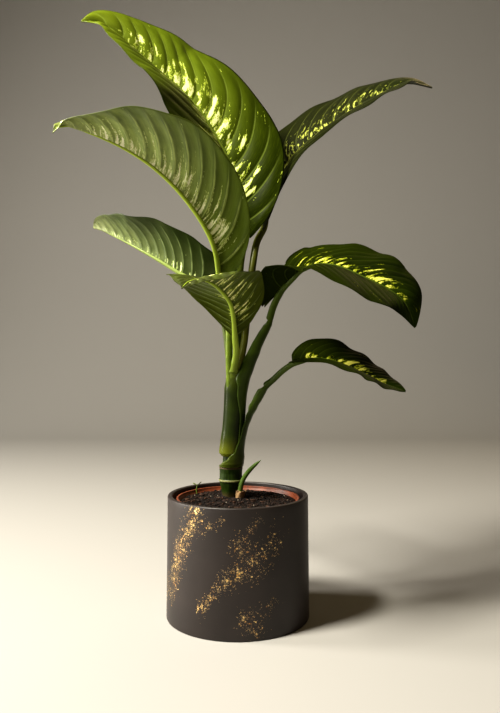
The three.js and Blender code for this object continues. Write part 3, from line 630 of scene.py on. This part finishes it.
def nursery_pot():
    """The plastic pot inside, with its lip and ledge. The small numbers are its bevels and roundings."""
    base, foot, wall = NURSERY["foot_level"], NURSERY["foot"], NURSERY["wall"]
    top, rim = base + NURSERY["height"], NURSERY["rim"]
    neck = rim - NURSERY["lip"]
    mouth = neck - wall + NURSERY["ledge"]
    under_lip, ledge = top - NURSERY["lip_height"], top - NURSERY["ledge_drop"]
    profile = [[AXIS, base], [foot - 2, base], [foot, base + 2], [neck, under_lip],
               [rim - 0.3, under_lip + 0.4]]
    profile += arc((rim - 0.8, top - 0.8), 0.8, 0, 90)
    profile += arc((mouth + 0.6, top - 0.6), 0.6, 90, 180)
    profile += [[mouth, ledge], [neck - wall, ledge - 0.6], [neck - wall, under_lip - 1],
                [foot - wall, base + 3], [foot - wall - 2, base + wall], [AXIS, base + wall]]
    skin = lathe(dense(profile, step=5), sides=160)
    skin.build("nursery_pot_fine", [terracotta_plastic()], "nursery_pot", "nursery_pot")


def soil_height(x, y):
    """The mound and the slow rise and fall of the potting mix."""
    away = np.hypot(x - STEM_LINE[0][0], y - STEM_LINE[0][1]) / SOIL["reach"]
    level = np.clip((SOIL["radius"] - np.hypot(x, y)) / 8, 0, 1)
    waves = np.sin(x * 0.31 + 1.3) * np.cos(y * 0.27 - 0.6) + 0.7 * np.sin(x * 0.13 - y * 0.19)
    return SOIL["level"] + SOIL["mound"] * np.exp(-away ** 2) + SOIL["crumb"] * waves * level


def soil():
    """The potting mix: a rough bed with crumbs, bark, perlite and fibres lying in it."""
    draw = np.random.default_rng(7)
    side = dense([*SOIL["side"], [SOIL["radius"], SOIL["level"]]], step=8)
    top = [[radius, 0] for radius in np.linspace(SOIL["radius"], AXIS, SOIL["rings"])]
    waves = (SOIL["waves"], 2)
    phases = draw.uniform(0, 2 * np.pi, waves)
    scales = draw.uniform(0.35, 1.6, waves) * draw.choice([-1, 1], waves)

    def rough(x, y):
        bumps = sum(np.sin(a * x + p) * np.cos(b * y + r) for (a, b), (p, r) in zip(scales, phases))
        edge = np.clip((SOIL["radius"] - np.hypot(x, y)) / 2, 0, 1)
        return soil_height(x, y) + SOIL["rough"] * bumps * edge

    skin = lathe(side + top, sides=150, lift=rough, level_rows=len(side))
    skin.build("soil_bed", [potting_mix()], "soil", "soil")
    scatter(draw, rough)


def pebble(draw, size, stretch):
    """Points of a small rough lump, as rings of a ball pushed in and out."""
    rise = np.linspace(0.12, np.pi - 0.12, LUMP_RINGS)[:, None]
    turn = round_way(LUMP_SIDES)[None, :]
    ball = together(np.sin(rise) * np.cos(turn), np.sin(rise) * np.sin(turn), np.cos(rise))
    ball = ball * draw.uniform(0.75, 1.2, ball.shape[:2])[..., None] * size * np.array(stretch)
    spin, tilt = draw.uniform(0, 2 * np.pi), draw.uniform(-0.6, 0.6)
    about = np.array([[math.cos(spin), -math.sin(spin), 0], [math.sin(spin), math.cos(spin), 0], [0, 0, 1]])
    lean = np.array([[1, 0, 0], [0, math.cos(tilt), -math.sin(tilt)], [0, math.sin(tilt), math.cos(tilt)]])
    return ball @ lean.T @ about.T


def scatter(draw, rough):
    """Crumbs, bark, perlite and fibres half sunk in the bed, as one piece."""
    skin = Skin()
    for slot, (_, count, least, most, stretch, out) in enumerate(BITS):
        placed = 0
        while placed < count:
            reach, turn = BITS_SPREAD * math.sqrt(draw.uniform(0, 1)), draw.uniform(0, 2 * np.pi)
            size = least + (most - least) * draw.uniform(0, 1) ** 2.2
            long = size * max(stretch)
            x, y = reach * math.cos(turn), reach * math.sin(turn)
            clear = all(math.hypot(x - a, y - b) > radius + long for a, b, radius in KEEP_OFF)
            if not clear or reach + long > BITS_REACH:
                continue
            lump = pebble(draw, size, stretch)
            z = float(rough(np.array(x), np.array(y))) + out * size
            places = np.zeros((LUMP_RINGS, LUMP_SIDES + 1, 2)) + draw.uniform(0, 1)
            skin.tube(lump + np.array([x, y, z]), places, slot)
            placed += 1
    skin.build("soil_bits", [bit_surface(kind) for kind, *_ in BITS], "soil")


# Cane, offshoot, husk and seedling

def cane():
    """The stem, with its ring scars and a slightly uneven skin."""
    rows = np.array(CANE, float)
    heights = np.unique(np.concatenate([np.linspace(rows[0, 0], rows[-1, 0], CANE_RINGS), rows[:, 0]]))
    count, point = catmull(STEM_LINE)
    path = np.array([point(k, s) for k in range(count) for s in np.linspace(0, 1, 40)])
    turn = round_way(CANE_SIDES)
    rings = []
    for z in heights:
        uneven = 0.16 * np.sin(3 * turn + 0.11 * z) + 0.1 * np.sin(7 * turn - 0.23 * z)
        radius = np.interp(z, rows[:, 0], rows[:, 1]) + uneven
        x, y = [np.interp(z, path[:, 2], path[:, k]) for k in (0, 1)]
        rings.append(together(x + radius * np.cos(turn), y + radius * np.sin(turn), z))
    skin = Skin()
    places = together(np.linspace(0, 1, CANE_SIDES + 1)[None, :], heights[:, None] * MM)
    skin.tube(np.array(rings), places)
    skin.build("cane_fine", [cane_surface()], "cane", "cane")


def offshoot():
    """The young shoot with its second tip, and the papery scale at its foot."""
    skin = Skin()
    for rows in (OFFSHOOT, OFFSHOOT_PRONG):
        skin.tube(*sweep(as_stalk(rows), 0, half=14))
    skin.build("offshoot_fine", [stalk_surface("offshoot_skin", SHOOT)], "offshoot", "offshoot")
    rings, places = sweep(as_sheath(HUSK), HUSK_BACK, half=30, wall=HUSK_WALL)
    across = np.linspace(0, 1, rings.shape[1])
    rise = np.linspace(0, 1, len(rings))[:, None]
    # Towards its top the scale is torn, in millimetres of height, and creased, in shares of its radius
    torn = 1.3 * np.sin(31 * across) * np.sin(12 * across) + 0.6 * np.sin(74 * across + 1) - 0.8
    rings[:, :, 2] += torn * rise ** 2
    middle = rings.mean(1, keepdims=True)
    crease = 1 + 0.05 * np.sin(46 * across) * (0.4 + rise) - 0.10 * rise ** 3 * np.cos(9 * across)
    rings[:, :, :2] = middle[:, :, :2] + (rings - middle)[:, :, :2] * crease[:, :, None]
    scale = Skin()
    scale.tube(rings, places)
    scale.build("offshoot_husk_fine", [husk_surface()], "husk", "offshoot_husk")


def seedling():
    """The tiny weed: a thread of a stem and two cupped seed leaves."""
    skin = Skin()
    skin.tube(*sweep(as_stalk(SEEDLING), 0, half=8))
    tip = np.array(SEEDLING[-1][:3], float)
    rows, sides = SEED_LEAF["rows"], SEED_LEAF["sides"]
    turn = round_way(sides)[:, None]
    for end in np.array(SEED_LEAVES, float):
        along = unit(end - tip)
        flat = unit(np.cross(np.array([0, 0, 1.0]), along))
        up = np.cross(along, flat)
        rings = []
        for share in np.linspace(0.02, 0.98, rows):
            wide = SEED_LEAF["half_width"] * math.sin(math.pi * share) ** 0.6
            centre = tip + along * SEED_LEAF["reach"] * np.linalg.norm(end - tip) * share
            rings.append(centre + wide * np.cos(turn) * flat + SEED_LEAF["thick"] * np.sin(turn) * up
                         + SEED_LEAF["cup"] * np.cos(turn) ** 2 * up)
        skin.tube(np.array(rings), np.zeros((rows, sides + 1, 2)))
    skin.build("seedling_fine", [stalk_surface("seedling_skin", SHOOT)], "seedling", "seedling")


# Materials

class Recipe:
    """A material's nodes, with short calls for those that the surfaces share."""

    def __init__(self, name):
        self.material = bpy.data.materials.new(name)
        self.material.use_nodes = True
        self.tree = self.material.node_tree
        self.shader = self.tree.nodes["Principled BSDF"]
        self.colour = None

    def node(self, kind, *values, **named):
        """A shader node, with its sockets fed in order and by name."""
        node = self.tree.nodes.new(f"ShaderNode{kind}")
        for socket, value in zip(node.inputs, values):
            self.feed(socket, value)
        self.fill(node, named)
        return node

    def fill(self, node, named):
        """Feeds a node's sockets by name, _ for spaces."""
        for name, value in named.items():
            self.feed(node.inputs[name.replace("_", " ")], value)

    def feed(self, socket, value):
        """Links a socket or sets its own value."""
        if isinstance(value, bpy.types.NodeSocket):
            self.tree.links.new(value, socket)
        elif isinstance(value, (tuple, list)) and len(value) == 3 and len(socket.default_value) == 4:
            socket.default_value = (*value, 1)
        else:
            socket.default_value = value

    def sum(self, operation, a, b=0.0, c=0.0, clamp=False):
        """A Math node."""
        node = self.node("Math", a, b, c)
        node.operation = operation
        node.use_clamp = clamp
        return node.outputs[0]

    def times(self, a, b):
        """One number times another."""
        return self.sum("MULTIPLY", a, b)

    def line(self, a, b, c):
        """a times b, plus c."""
        return self.sum("MULTIPLY_ADD", a, b, c)

    def ease(self, value, low, high, start=0.0, end=1.0):
        """Smooth step of a value from low to high."""
        node = self.node("MapRange", value, low, high, start, end)
        node.interpolation_type = "SMOOTHSTEP"
        return node.outputs[0]

    def mix(self, share, a, b):
        """One colour over another."""
        node = self.node("Mix")
        node.data_type = "RGBA"
        self.feed(node.inputs["Factor"], share)
        self.feed(node.inputs[6], a)
        self.feed(node.inputs[7], b)
        return node.outputs[2]

    def paint(self, share, tone):
        """Lays a colour over the recipe's own."""
        self.colour = self.mix(share, self.colour, tone)

    def place(self, layer=MAP):
        """The two coordinates of a map."""
        node = self.node("UVMap")
        node.uv_map = layer
        return self.node("SeparateXYZ", node.outputs[0]).outputs[:2]

    def vector(self, x, y=0.0, z=0.0):
        """Three numbers as one vector."""
        return self.node("CombineXYZ", x, y, z).outputs[0]

    def solid(self):
        """The object's own coordinates, in metres."""
        return self.node("TexCoord").outputs["Object"]

    def noise(self, vector, scale=1.0, detail=3.0, rough=0.55, bend=0.0):
        """Noise of about 0.5."""
        return self.node("TexNoise", Vector=vector, Scale=scale, Detail=detail, Roughness=rough,
                         Distortion=bend).outputs["Fac"]

    def fibres(self, x, y, across, along, detail=4.0, rough=0.6):
        """Noise drawn out over a map, with so many grains to a unit each way."""
        return self.noise(self.vector(self.times(x, across), self.times(y, along)), 1.0, detail, rough)

    def flakes(self, vector, scale, share):
        """Flakes of mixed sizes in the share of the cells given."""
        node = self.node("TexVoronoi", Vector=vector, Scale=scale)
        chance, size, _ = self.node("SeparateColor", Color=node.outputs["Color"]).outputs
        inside = self.sum("LESS_THAN", node.outputs["Distance"], self.line(size, 0.45, 0.12))
        return self.times(self.sum("LESS_THAN", chance, share), inside)

    def shaken(self, vector, scale, reach):
        """Coordinates pushed about by noise, which tears the outlines read from them."""
        noise = self.node("TexNoise", Vector=vector, Scale=scale)
        push = self.node("VectorMath", noise.outputs["Color"], (reach, reach, reach), vector)
        push.operation = "MULTIPLY_ADD"
        return push.outputs[0]

    def bump(self, height, distance, strength=1.0, before=None):
        """A bump of a height of 0 to 1 over a distance in millimetres."""
        node = self.node("Bump", Strength=strength, Distance=distance * MM, Height=height)
        if before is not None:
            self.feed(node.inputs["Normal"], before)
        return node.outputs[0]

    def finish(self, **named):
        """The material, with its colour and its shader's sockets fed by name."""
        self.fill(self.shader, {"Base_Color": self.colour, **named})
        return self.material


def leaf_patterns(r, leaf, rib, look):
    """What a blade's colours follow: share of the midrib (foot) and of the half-width (q), side veins and
    nearness to them, midrib, fine threads, clouds, and the rim and core of the splashes.
    """
    foot, v = r.place()
    s = r.line(v, 2.0, -1.0)
    q = r.sum("ABSOLUTE", s)
    side = r.sum("SIGN", s)
    reach = r.times(q, float(leaf["width"]))
    down = r.times(foot, float(rib.length))
    wobble = r.sum("SINE", r.line(foot, WANDER_TURN, leaf["phase"]))
    # The 40 keeps the veins' count above 0, which folding it to and fro needs
    beat = r.line(wobble, VEIN_WANDER, r.line(side, VEIN_SHIFT, 40.0))
    near = r.sum("PINGPONG", r.line(foot, float(VEINS), beat), 0.5)
    vein = r.times(r.ease(near, 0.015, 0.075, 1.0, 0.0), r.ease(q, 1.0, 0.6))
    seed = r.line(side, 17.0, leaf["phase"] * 10)

    def grain(across, along, start=seed, **settings):
        """Noise whose grains are so many millimetres across the side veins and along them."""
        place = r.vector(r.sum("DIVIDE", down, across), r.sum("DIVIDE", reach, along), start)
        return r.noise(place, **settings)

    thread = grain(0.9, 9.0, detail=2.0)
    cloud = grain(14.0, 24.0, side, detail=3.0)
    inner, left, right = look["band"]
    outer = r.line(side, 0.5 * (right - left), 0.5 * (right + left))
    band = r.times(r.ease(r.sum("SUBTRACT", outer, q), 0.0, 0.6), r.ease(q, 0.0, inner))
    band = r.times(band, r.times(r.ease(foot, 0.03, 0.16), r.ease(foot, 0.93, 0.78)))
    splash = r.line(band, 0.26, grain(*look["streak"], detail=2.0, rough=0.5, bend=0.4))
    splash = r.line(grain(17.0, 26.0, detail=1.0), 0.34, splash)
    splash = r.line(grain(1.3, 2.2, detail=2.0), 0.36, splash)
    splash = r.sum("ADD", r.line(vein, -0.05, splash), look["cover"] - 0.35)
    return {"foot": foot, "q": q, "vein": vein, "near": near, "rib": r.ease(reach, 0.7, 2.0, 1.0, 0.0),
            "thread": thread, "cloud": cloud, "rim": r.ease(splash, 0.785, 0.81),
            "core": r.ease(splash, 0.84, 0.91)}


def along_blade(r, p, look, start, end, most, thread):
    """Painted shade in the base colour towards the foot, the tip's colour at the tip, and deeper fine
    threads.
    """
    # Painted shade: the blade is darkened in its base colour towards its foot.
    r.paint(r.ease(p["foot"], start, end, 0.0, most), look["base"])
    r.paint(r.ease(p["foot"], 0.6, 1.0, 0.0, 0.8), look["tip"])
    r.paint(r.ease(p["thread"], 0.45, 0.75, 0.0, thread), look["deep"])


def waxed(r, p, look, raised, rough):
    """A thin dark margin of painted shade where the rim curls under, threads raised so many millimetres,
    grain, and wax that shines from the foot on.
    """
    # Painted shade: a thin dark edge in the base colour along the margin, where the rim curls under.
    r.paint(r.ease(p["q"], 0.965, 0.99, 0.0, 0.8), look["base"])
    grain = r.noise(r.solid(), 900.0, 3.0)
    bumps = r.bump(p["thread"], raised, 0.4, r.bump(grain, 0.08, 0.5))
    return r.finish(Roughness=r.ease(grain, 0.2, 0.8, 0.34, rough), Normal=bumps,
                    Specular_IOR_Level=r.ease(p["foot"], 0.15, 0.6, 0.1 * look["gloss"], look["gloss"]))


def upper_surface(name, leaf, rib, look):
    """The waxy upper face: mottled green, with pale splashes along the side veins."""
    r = Recipe(name)
    p = leaf_patterns(r, leaf, rib, look)
    r.colour = r.mix(r.ease(p["cloud"], 0.3, 0.7), look["deep"], look["light"])
    along_blade(r, p, look, 0.55, 0.12, 0.9, 0.3)
    r.paint(r.times(p["vein"], 0.3), look["vein"])
    r.paint(p["rim"], look["rim"])
    r.paint(p["core"], look["core"])
    r.paint(r.times(p["rib"], 0.6), look["vein"])
    return waxed(r, p, look, 0.25, 0.46)


def under_surface(name, leaf, rib, look):
    """The under face: paler, with painted shade in the creases beside its veins, deeper to the margin, and
    splashes showing through.
    """
    r = Recipe(name)
    p = leaf_patterns(r, leaf, rib, look)
    r.colour = r.mix(r.ease(p["cloud"], 0.25, 0.75), look["light"], look["under"])
    r.paint(r.ease(p["q"], 0.3, 0.9, 0.0, 0.55), look["deep"])
    along_blade(r, p, look, 0.70, 0.10, 0.85, 0.25)
    # Painted shade: the creases beside the side veins, where the blade dips between its bulges, are
    # darkened.
    shade = r.times(r.ease(p["near"], 0.05, 0.30, 0.72, 0.0), r.ease(p["thread"], 0.25, 0.6, 1.0, 0.3))
    r.paint(shade, look["deep"])
    r.paint(r.times(p["rim"], 0.9), look["rim"])
    r.paint(p["core"], look["core"])
    r.paint(r.times(p["vein"], r.ease(p["thread"], 0.3, 0.7, 0.25, 0.75)), look["vein"])
    return waxed(r, p, look, 0.2, 0.48)


def stalk_surface(name, look, blade_at=NO_BLADE):
    """Stalk, sheath and midrib: streaked juicy green, paler from where the blade begins, in metres."""
    r = Recipe(name)
    run, turn = r.place()
    streak = r.fibres(run, turn, 22.0, 90.0)
    cloud = r.noise(r.solid(), 38.0, 2.0)
    r.colour = r.mix(r.ease(cloud, 0.3, 0.75), look["stalk"], look["stalk_light"])
    r.paint(r.ease(streak, 0.4, 0.75, 0.0, 0.55), look["stalk"])
    fleck = r.fibres(run, turn, 160.0, 50.0, 2.0, 0.55)
    r.paint(r.ease(fleck, 0.66, 0.74, 0.0, 0.5), look["stalk_light"])
    r.paint(r.ease(run, blade_at - 0.07, blade_at + 0.01, 0.0, 0.85), look["keel"])
    r.paint(r.ease(run, 0.026, 0.0, 0.0, 0.85), look["collar"])
    bumps = r.bump(streak, 0.12, 0.4, r.bump(r.noise(r.solid(), 700.0, 2.0), 0.05, 0.4))
    return r.finish(Roughness=0.36, Normal=bumps, Coat_Weight=0.05, Coat_Roughness=0.2,
                    Specular_IOR_Level=0.12)


def cane_surface():
    """The cane: dark green skin, pale ring scar, brown node and foot, by height in metres."""
    r = Recipe("cane_skin")
    turn, height = r.place()
    streak = r.fibres(turn, height, 40.0, 60.0)
    r.colour = r.mix(r.ease(streak, 0.3, 0.75), (0.008, 0.017, 0.001), (0.022, 0.042, 0.003))
    ring = r.times(r.ease(height, 0.1396, 0.1406), r.ease(height, 0.1426, 0.1418))
    r.paint(r.times(ring, 0.85), (0.22, 0.22, 0.10))
    node = r.times(r.ease(height, 0.1535, 0.1548), r.ease(height, 0.1565, 0.1555))
    r.paint(r.times(node, 0.6), (0.10, 0.06, 0.03))
    r.paint(r.ease(height, 0.131, 0.123), (0.06, 0.045, 0.018))
    bumps = r.bump(streak, 0.3, 0.5, r.bump(r.noise(r.solid(), 600.0, 3.0), 0.1, 0.5))
    return r.finish(Roughness=0.4, Normal=bumps, Coat_Weight=0.04, Coat_Roughness=0.25,
                    Specular_IOR_Level=0.15)


def husk_surface():
    """Dry papery scale."""
    r = Recipe("husk_paper")
    fibre = r.fibres(*r.place(), 40.0, 70.0, rough=0.65)
    r.colour = r.mix(r.ease(fibre, 0.3, 0.7), (0.07, 0.035, 0.012), (0.34, 0.21, 0.09))
    return r.finish(Roughness=0.85, Normal=r.bump(fibre, 0.4, 0.7))


def mark_flecks(pot):
    """Writes how dense the flecks lie to a second map of the pot, and which points are outside."""
    mesh = pot.data
    points = np.array([v.co for v in mesh.vertices]) / MM
    around = np.degrees(np.arctan2(points[:, 0], -points[:, 1]))
    outside = (np.hypot(points[:, 0], points[:, 1]) > COVER["rim"] - 1).astype(float)
    best = np.zeros(len(points))
    for a0, z0, a1, z1, wide, share in FLECK_BANDS:
        middle = 0.5 * (a0 + a1)
        gap = (around - middle + 180) % 360 - 180
        x0, x1 = math.radians(a0 - middle) * COVER["rim"], math.radians(a1 - middle) * COVER["rim"]
        x, y = np.radians(gap) * COVER["rim"] - x0, points[:, 2] - z0
        long, high = x1 - x0, z1 - z0
        run = np.clip((x * long + y * high) / (long ** 2 + high ** 2), 0, 1)
        away = np.hypot(x - run * long, y - run * high) / wide
        best = np.maximum(best, share * np.exp(-(away ** 2) * 1.4))
    loops = np.zeros(len(mesh.loops), np.int32)
    mesh.loops.foreach_get("vertex_index", loops)
    layer = mesh.uv_layers.new(name=FLECK_MAP, do_init=False)
    layer.uv.foreach_set("vector", np.stack([best * outside, outside], 1)[loops].astype(np.float32).ravel())


def charcoal_glaze():
    """Matte charcoal with torn flakes of gold leaf, denser inside their bands."""
    r = Recipe("charcoal_gold")
    density, _ = r.place(FLECK_MAP)
    solid = r.solid()
    clump = r.noise(solid, 150.0, 3.0, 0.6)
    share = r.times(density, r.ease(clump, 0.40, 0.60, 0.2, 1.0))
    torn = r.shaken(solid, 1100.0, 0.0036)
    gold = r.sum("MAXIMUM", r.flakes(torn, 490.0, r.times(share, 0.58)),
                 r.flakes(torn, 1050.0, r.times(share, 0.8)))
    speck = r.noise(solid, 1500.0, 2.0)
    r.colour = r.mix(r.ease(r.noise(solid, 22.0, 3.0), 0.3, 0.7),
                     (0.0155, 0.0108, 0.0094), (0.0225, 0.0158, 0.0140))
    r.paint(r.ease(speck, 0.62, 0.75, 0.0, 0.3), (0.060, 0.050, 0.046))
    r.paint(gold, r.mix(r.ease(clump, 0.35, 0.65), (0.50, 0.25, 0.06), (0.92, 0.66, 0.27)))
    return r.finish(Roughness=r.ease(gold, 0.0, 1.0, 0.47, 0.36), Metallic=r.times(gold, 0.7),
                    Normal=r.bump(gold, 0.12, 0.8, r.bump(speck, 0.06, 0.6)))


def terracotta_plastic():
    """Reddish-brown nursery-pot plastic, dusted with soil, its reds set darker as painted shade inside the
    cover pot.
    """
    r = Recipe("terracotta_plastic")
    dust = r.noise(r.solid(), 120.0, 5.0, 0.65)
    # Reddish-brown of the plastic, partly its own and partly darkened as painted shade inside the cover
    # pot.
    r.colour = r.mix(r.ease(dust, 0.3, 0.6), (0.11, 0.026, 0.010), (0.20, 0.048, 0.016))
    r.paint(r.ease(dust, 0.6, 0.72, 0.0, 0.7), (0.07, 0.04, 0.025))
    return r.finish(Roughness=0.48, Normal=r.bump(dust, 0.15, 0.4))


def potting_mix():
    """Near-black damp mix."""
    r = Recipe("potting_mix")
    crumb = r.noise(r.solid(), 420.0, 6.0, 0.7)
    r.colour = r.mix(r.ease(crumb, 0.4, 0.75), (0.0025, 0.0012, 0.0008), (0.015, 0.0075, 0.0045))
    return r.finish(Roughness=0.9, Normal=r.bump(crumb, 1.2, 0.9), Specular_IOR_Level=0.25)


def bit_surface(kind):
    """Crumbs, bark, perlite or fibres, each lump darker or paler by its own place on the map."""
    dark, pale, rough = BIT_COLOURS[kind]
    r = Recipe(f"soil_{kind}")
    own, _ = r.place()
    grain = r.noise(r.solid(), 700.0, 4.0, 0.65)
    share = r.sum("ADD", r.times(own, 0.5), r.times(grain, 0.5), clamp=True)
    r.colour = r.mix(r.ease(share, 0.25, 0.8), dark, pale)
    return r.finish(Roughness=rough, Normal=r.bump(grain, 0.3, 0.7), Specular_IOR_Level=0.3)


# Stage, lights and camera

def stage():
    """A pale matte floor that rises to a pale backdrop in one sweep."""
    front, flat, bend, top = FLOOR["front"], FLOOR["flat"], FLOOR["bend"], FLOOR["top"]
    rise = [[y, 0.0] for y in np.linspace(front, flat, 8)]
    turns = np.linspace(0.1, math.pi / 2, 14)
    rise += [[flat + bend * math.sin(a), bend - bend * math.cos(a)] for a in turns]
    rise += [[flat + bend, top]]
    across = np.linspace(-FLOOR["half_width"], FLOOR["half_width"], 5)
    wide = len(across)
    points = [(x, y, z) for y, z in rise for x in across]
    faces = [(i * wide + j, i * wide + j + 1, (i + 1) * wide + j + 1, (i + 1) * wide + j)
             for i in range(len(rise) - 1) for j in range(wide - 1)]
    mesh = bpy.data.meshes.new("floor")
    mesh.from_pydata(points, [], faces)
    mesh.shade_smooth()
    paper = Recipe("pale_paper")
    paper.colour = PAPER
    mesh.materials.append(paper.finish(Roughness=0.7, Specular_IOR_Level=0.0))
    floor = linked("floor", mesh)


def aim(thing, place, target):
    """Stands a light or camera at a place, looking at the target."""
    thing.location = place
    thing.rotation_euler = (Vector(target) - Vector(place)).to_track_quat("-Z", "Y").to_euler()


def lights():
    """Warm studio light from the left and a dim glow all round, shown without a film's soft roll-off."""
    for name, (place, target, (across, up), watts, colour) in LIGHTS.items():
        lamp = bpy.data.lights.new(name, "AREA")
        lamp.shape = "RECTANGLE"
        lamp.size, lamp.size_y = across, up
        lamp.energy = watts
        lamp.color = colour
        aim(linked(name, lamp), place, target)
    world = bpy.data.worlds.new("studio")
    world.use_nodes = True
    glow = world.node_tree.nodes["Background"].inputs
    glow["Color"].default_value = GLOW_COLOUR
    glow["Strength"].default_value = GLOW_STRENGTH
    scene = bpy.context.scene
    scene.world = world
    scene.view_settings.view_transform = "Standard"
    scene.view_settings.look = "Medium High Contrast"


def camera():
    """The photograph's level camera."""
    lens = bpy.data.cameras.new("camera")
    lens.sensor_fit = "VERTICAL"
    lens.sensor_height = SENSOR
    lens.lens = FOCAL_PIXELS * SENSOR / PICTURE_HEIGHT
    lens.clip_start = 0.01
    thing = linked("camera", lens)
    place = Vector(CAMERA_PLACE) * MM
    aim(thing, place, place + Vector((0, 1, 0)))
    bpy.context.scene.camera = thing


camera()
stage()
lights()
cover_pot()
nursery_pot()
soil()
cane()
offshoot()
seedling()
for leaf_name, leaf_values in LEAVES.items():
    make_leaf(leaf_name, leaf_values)
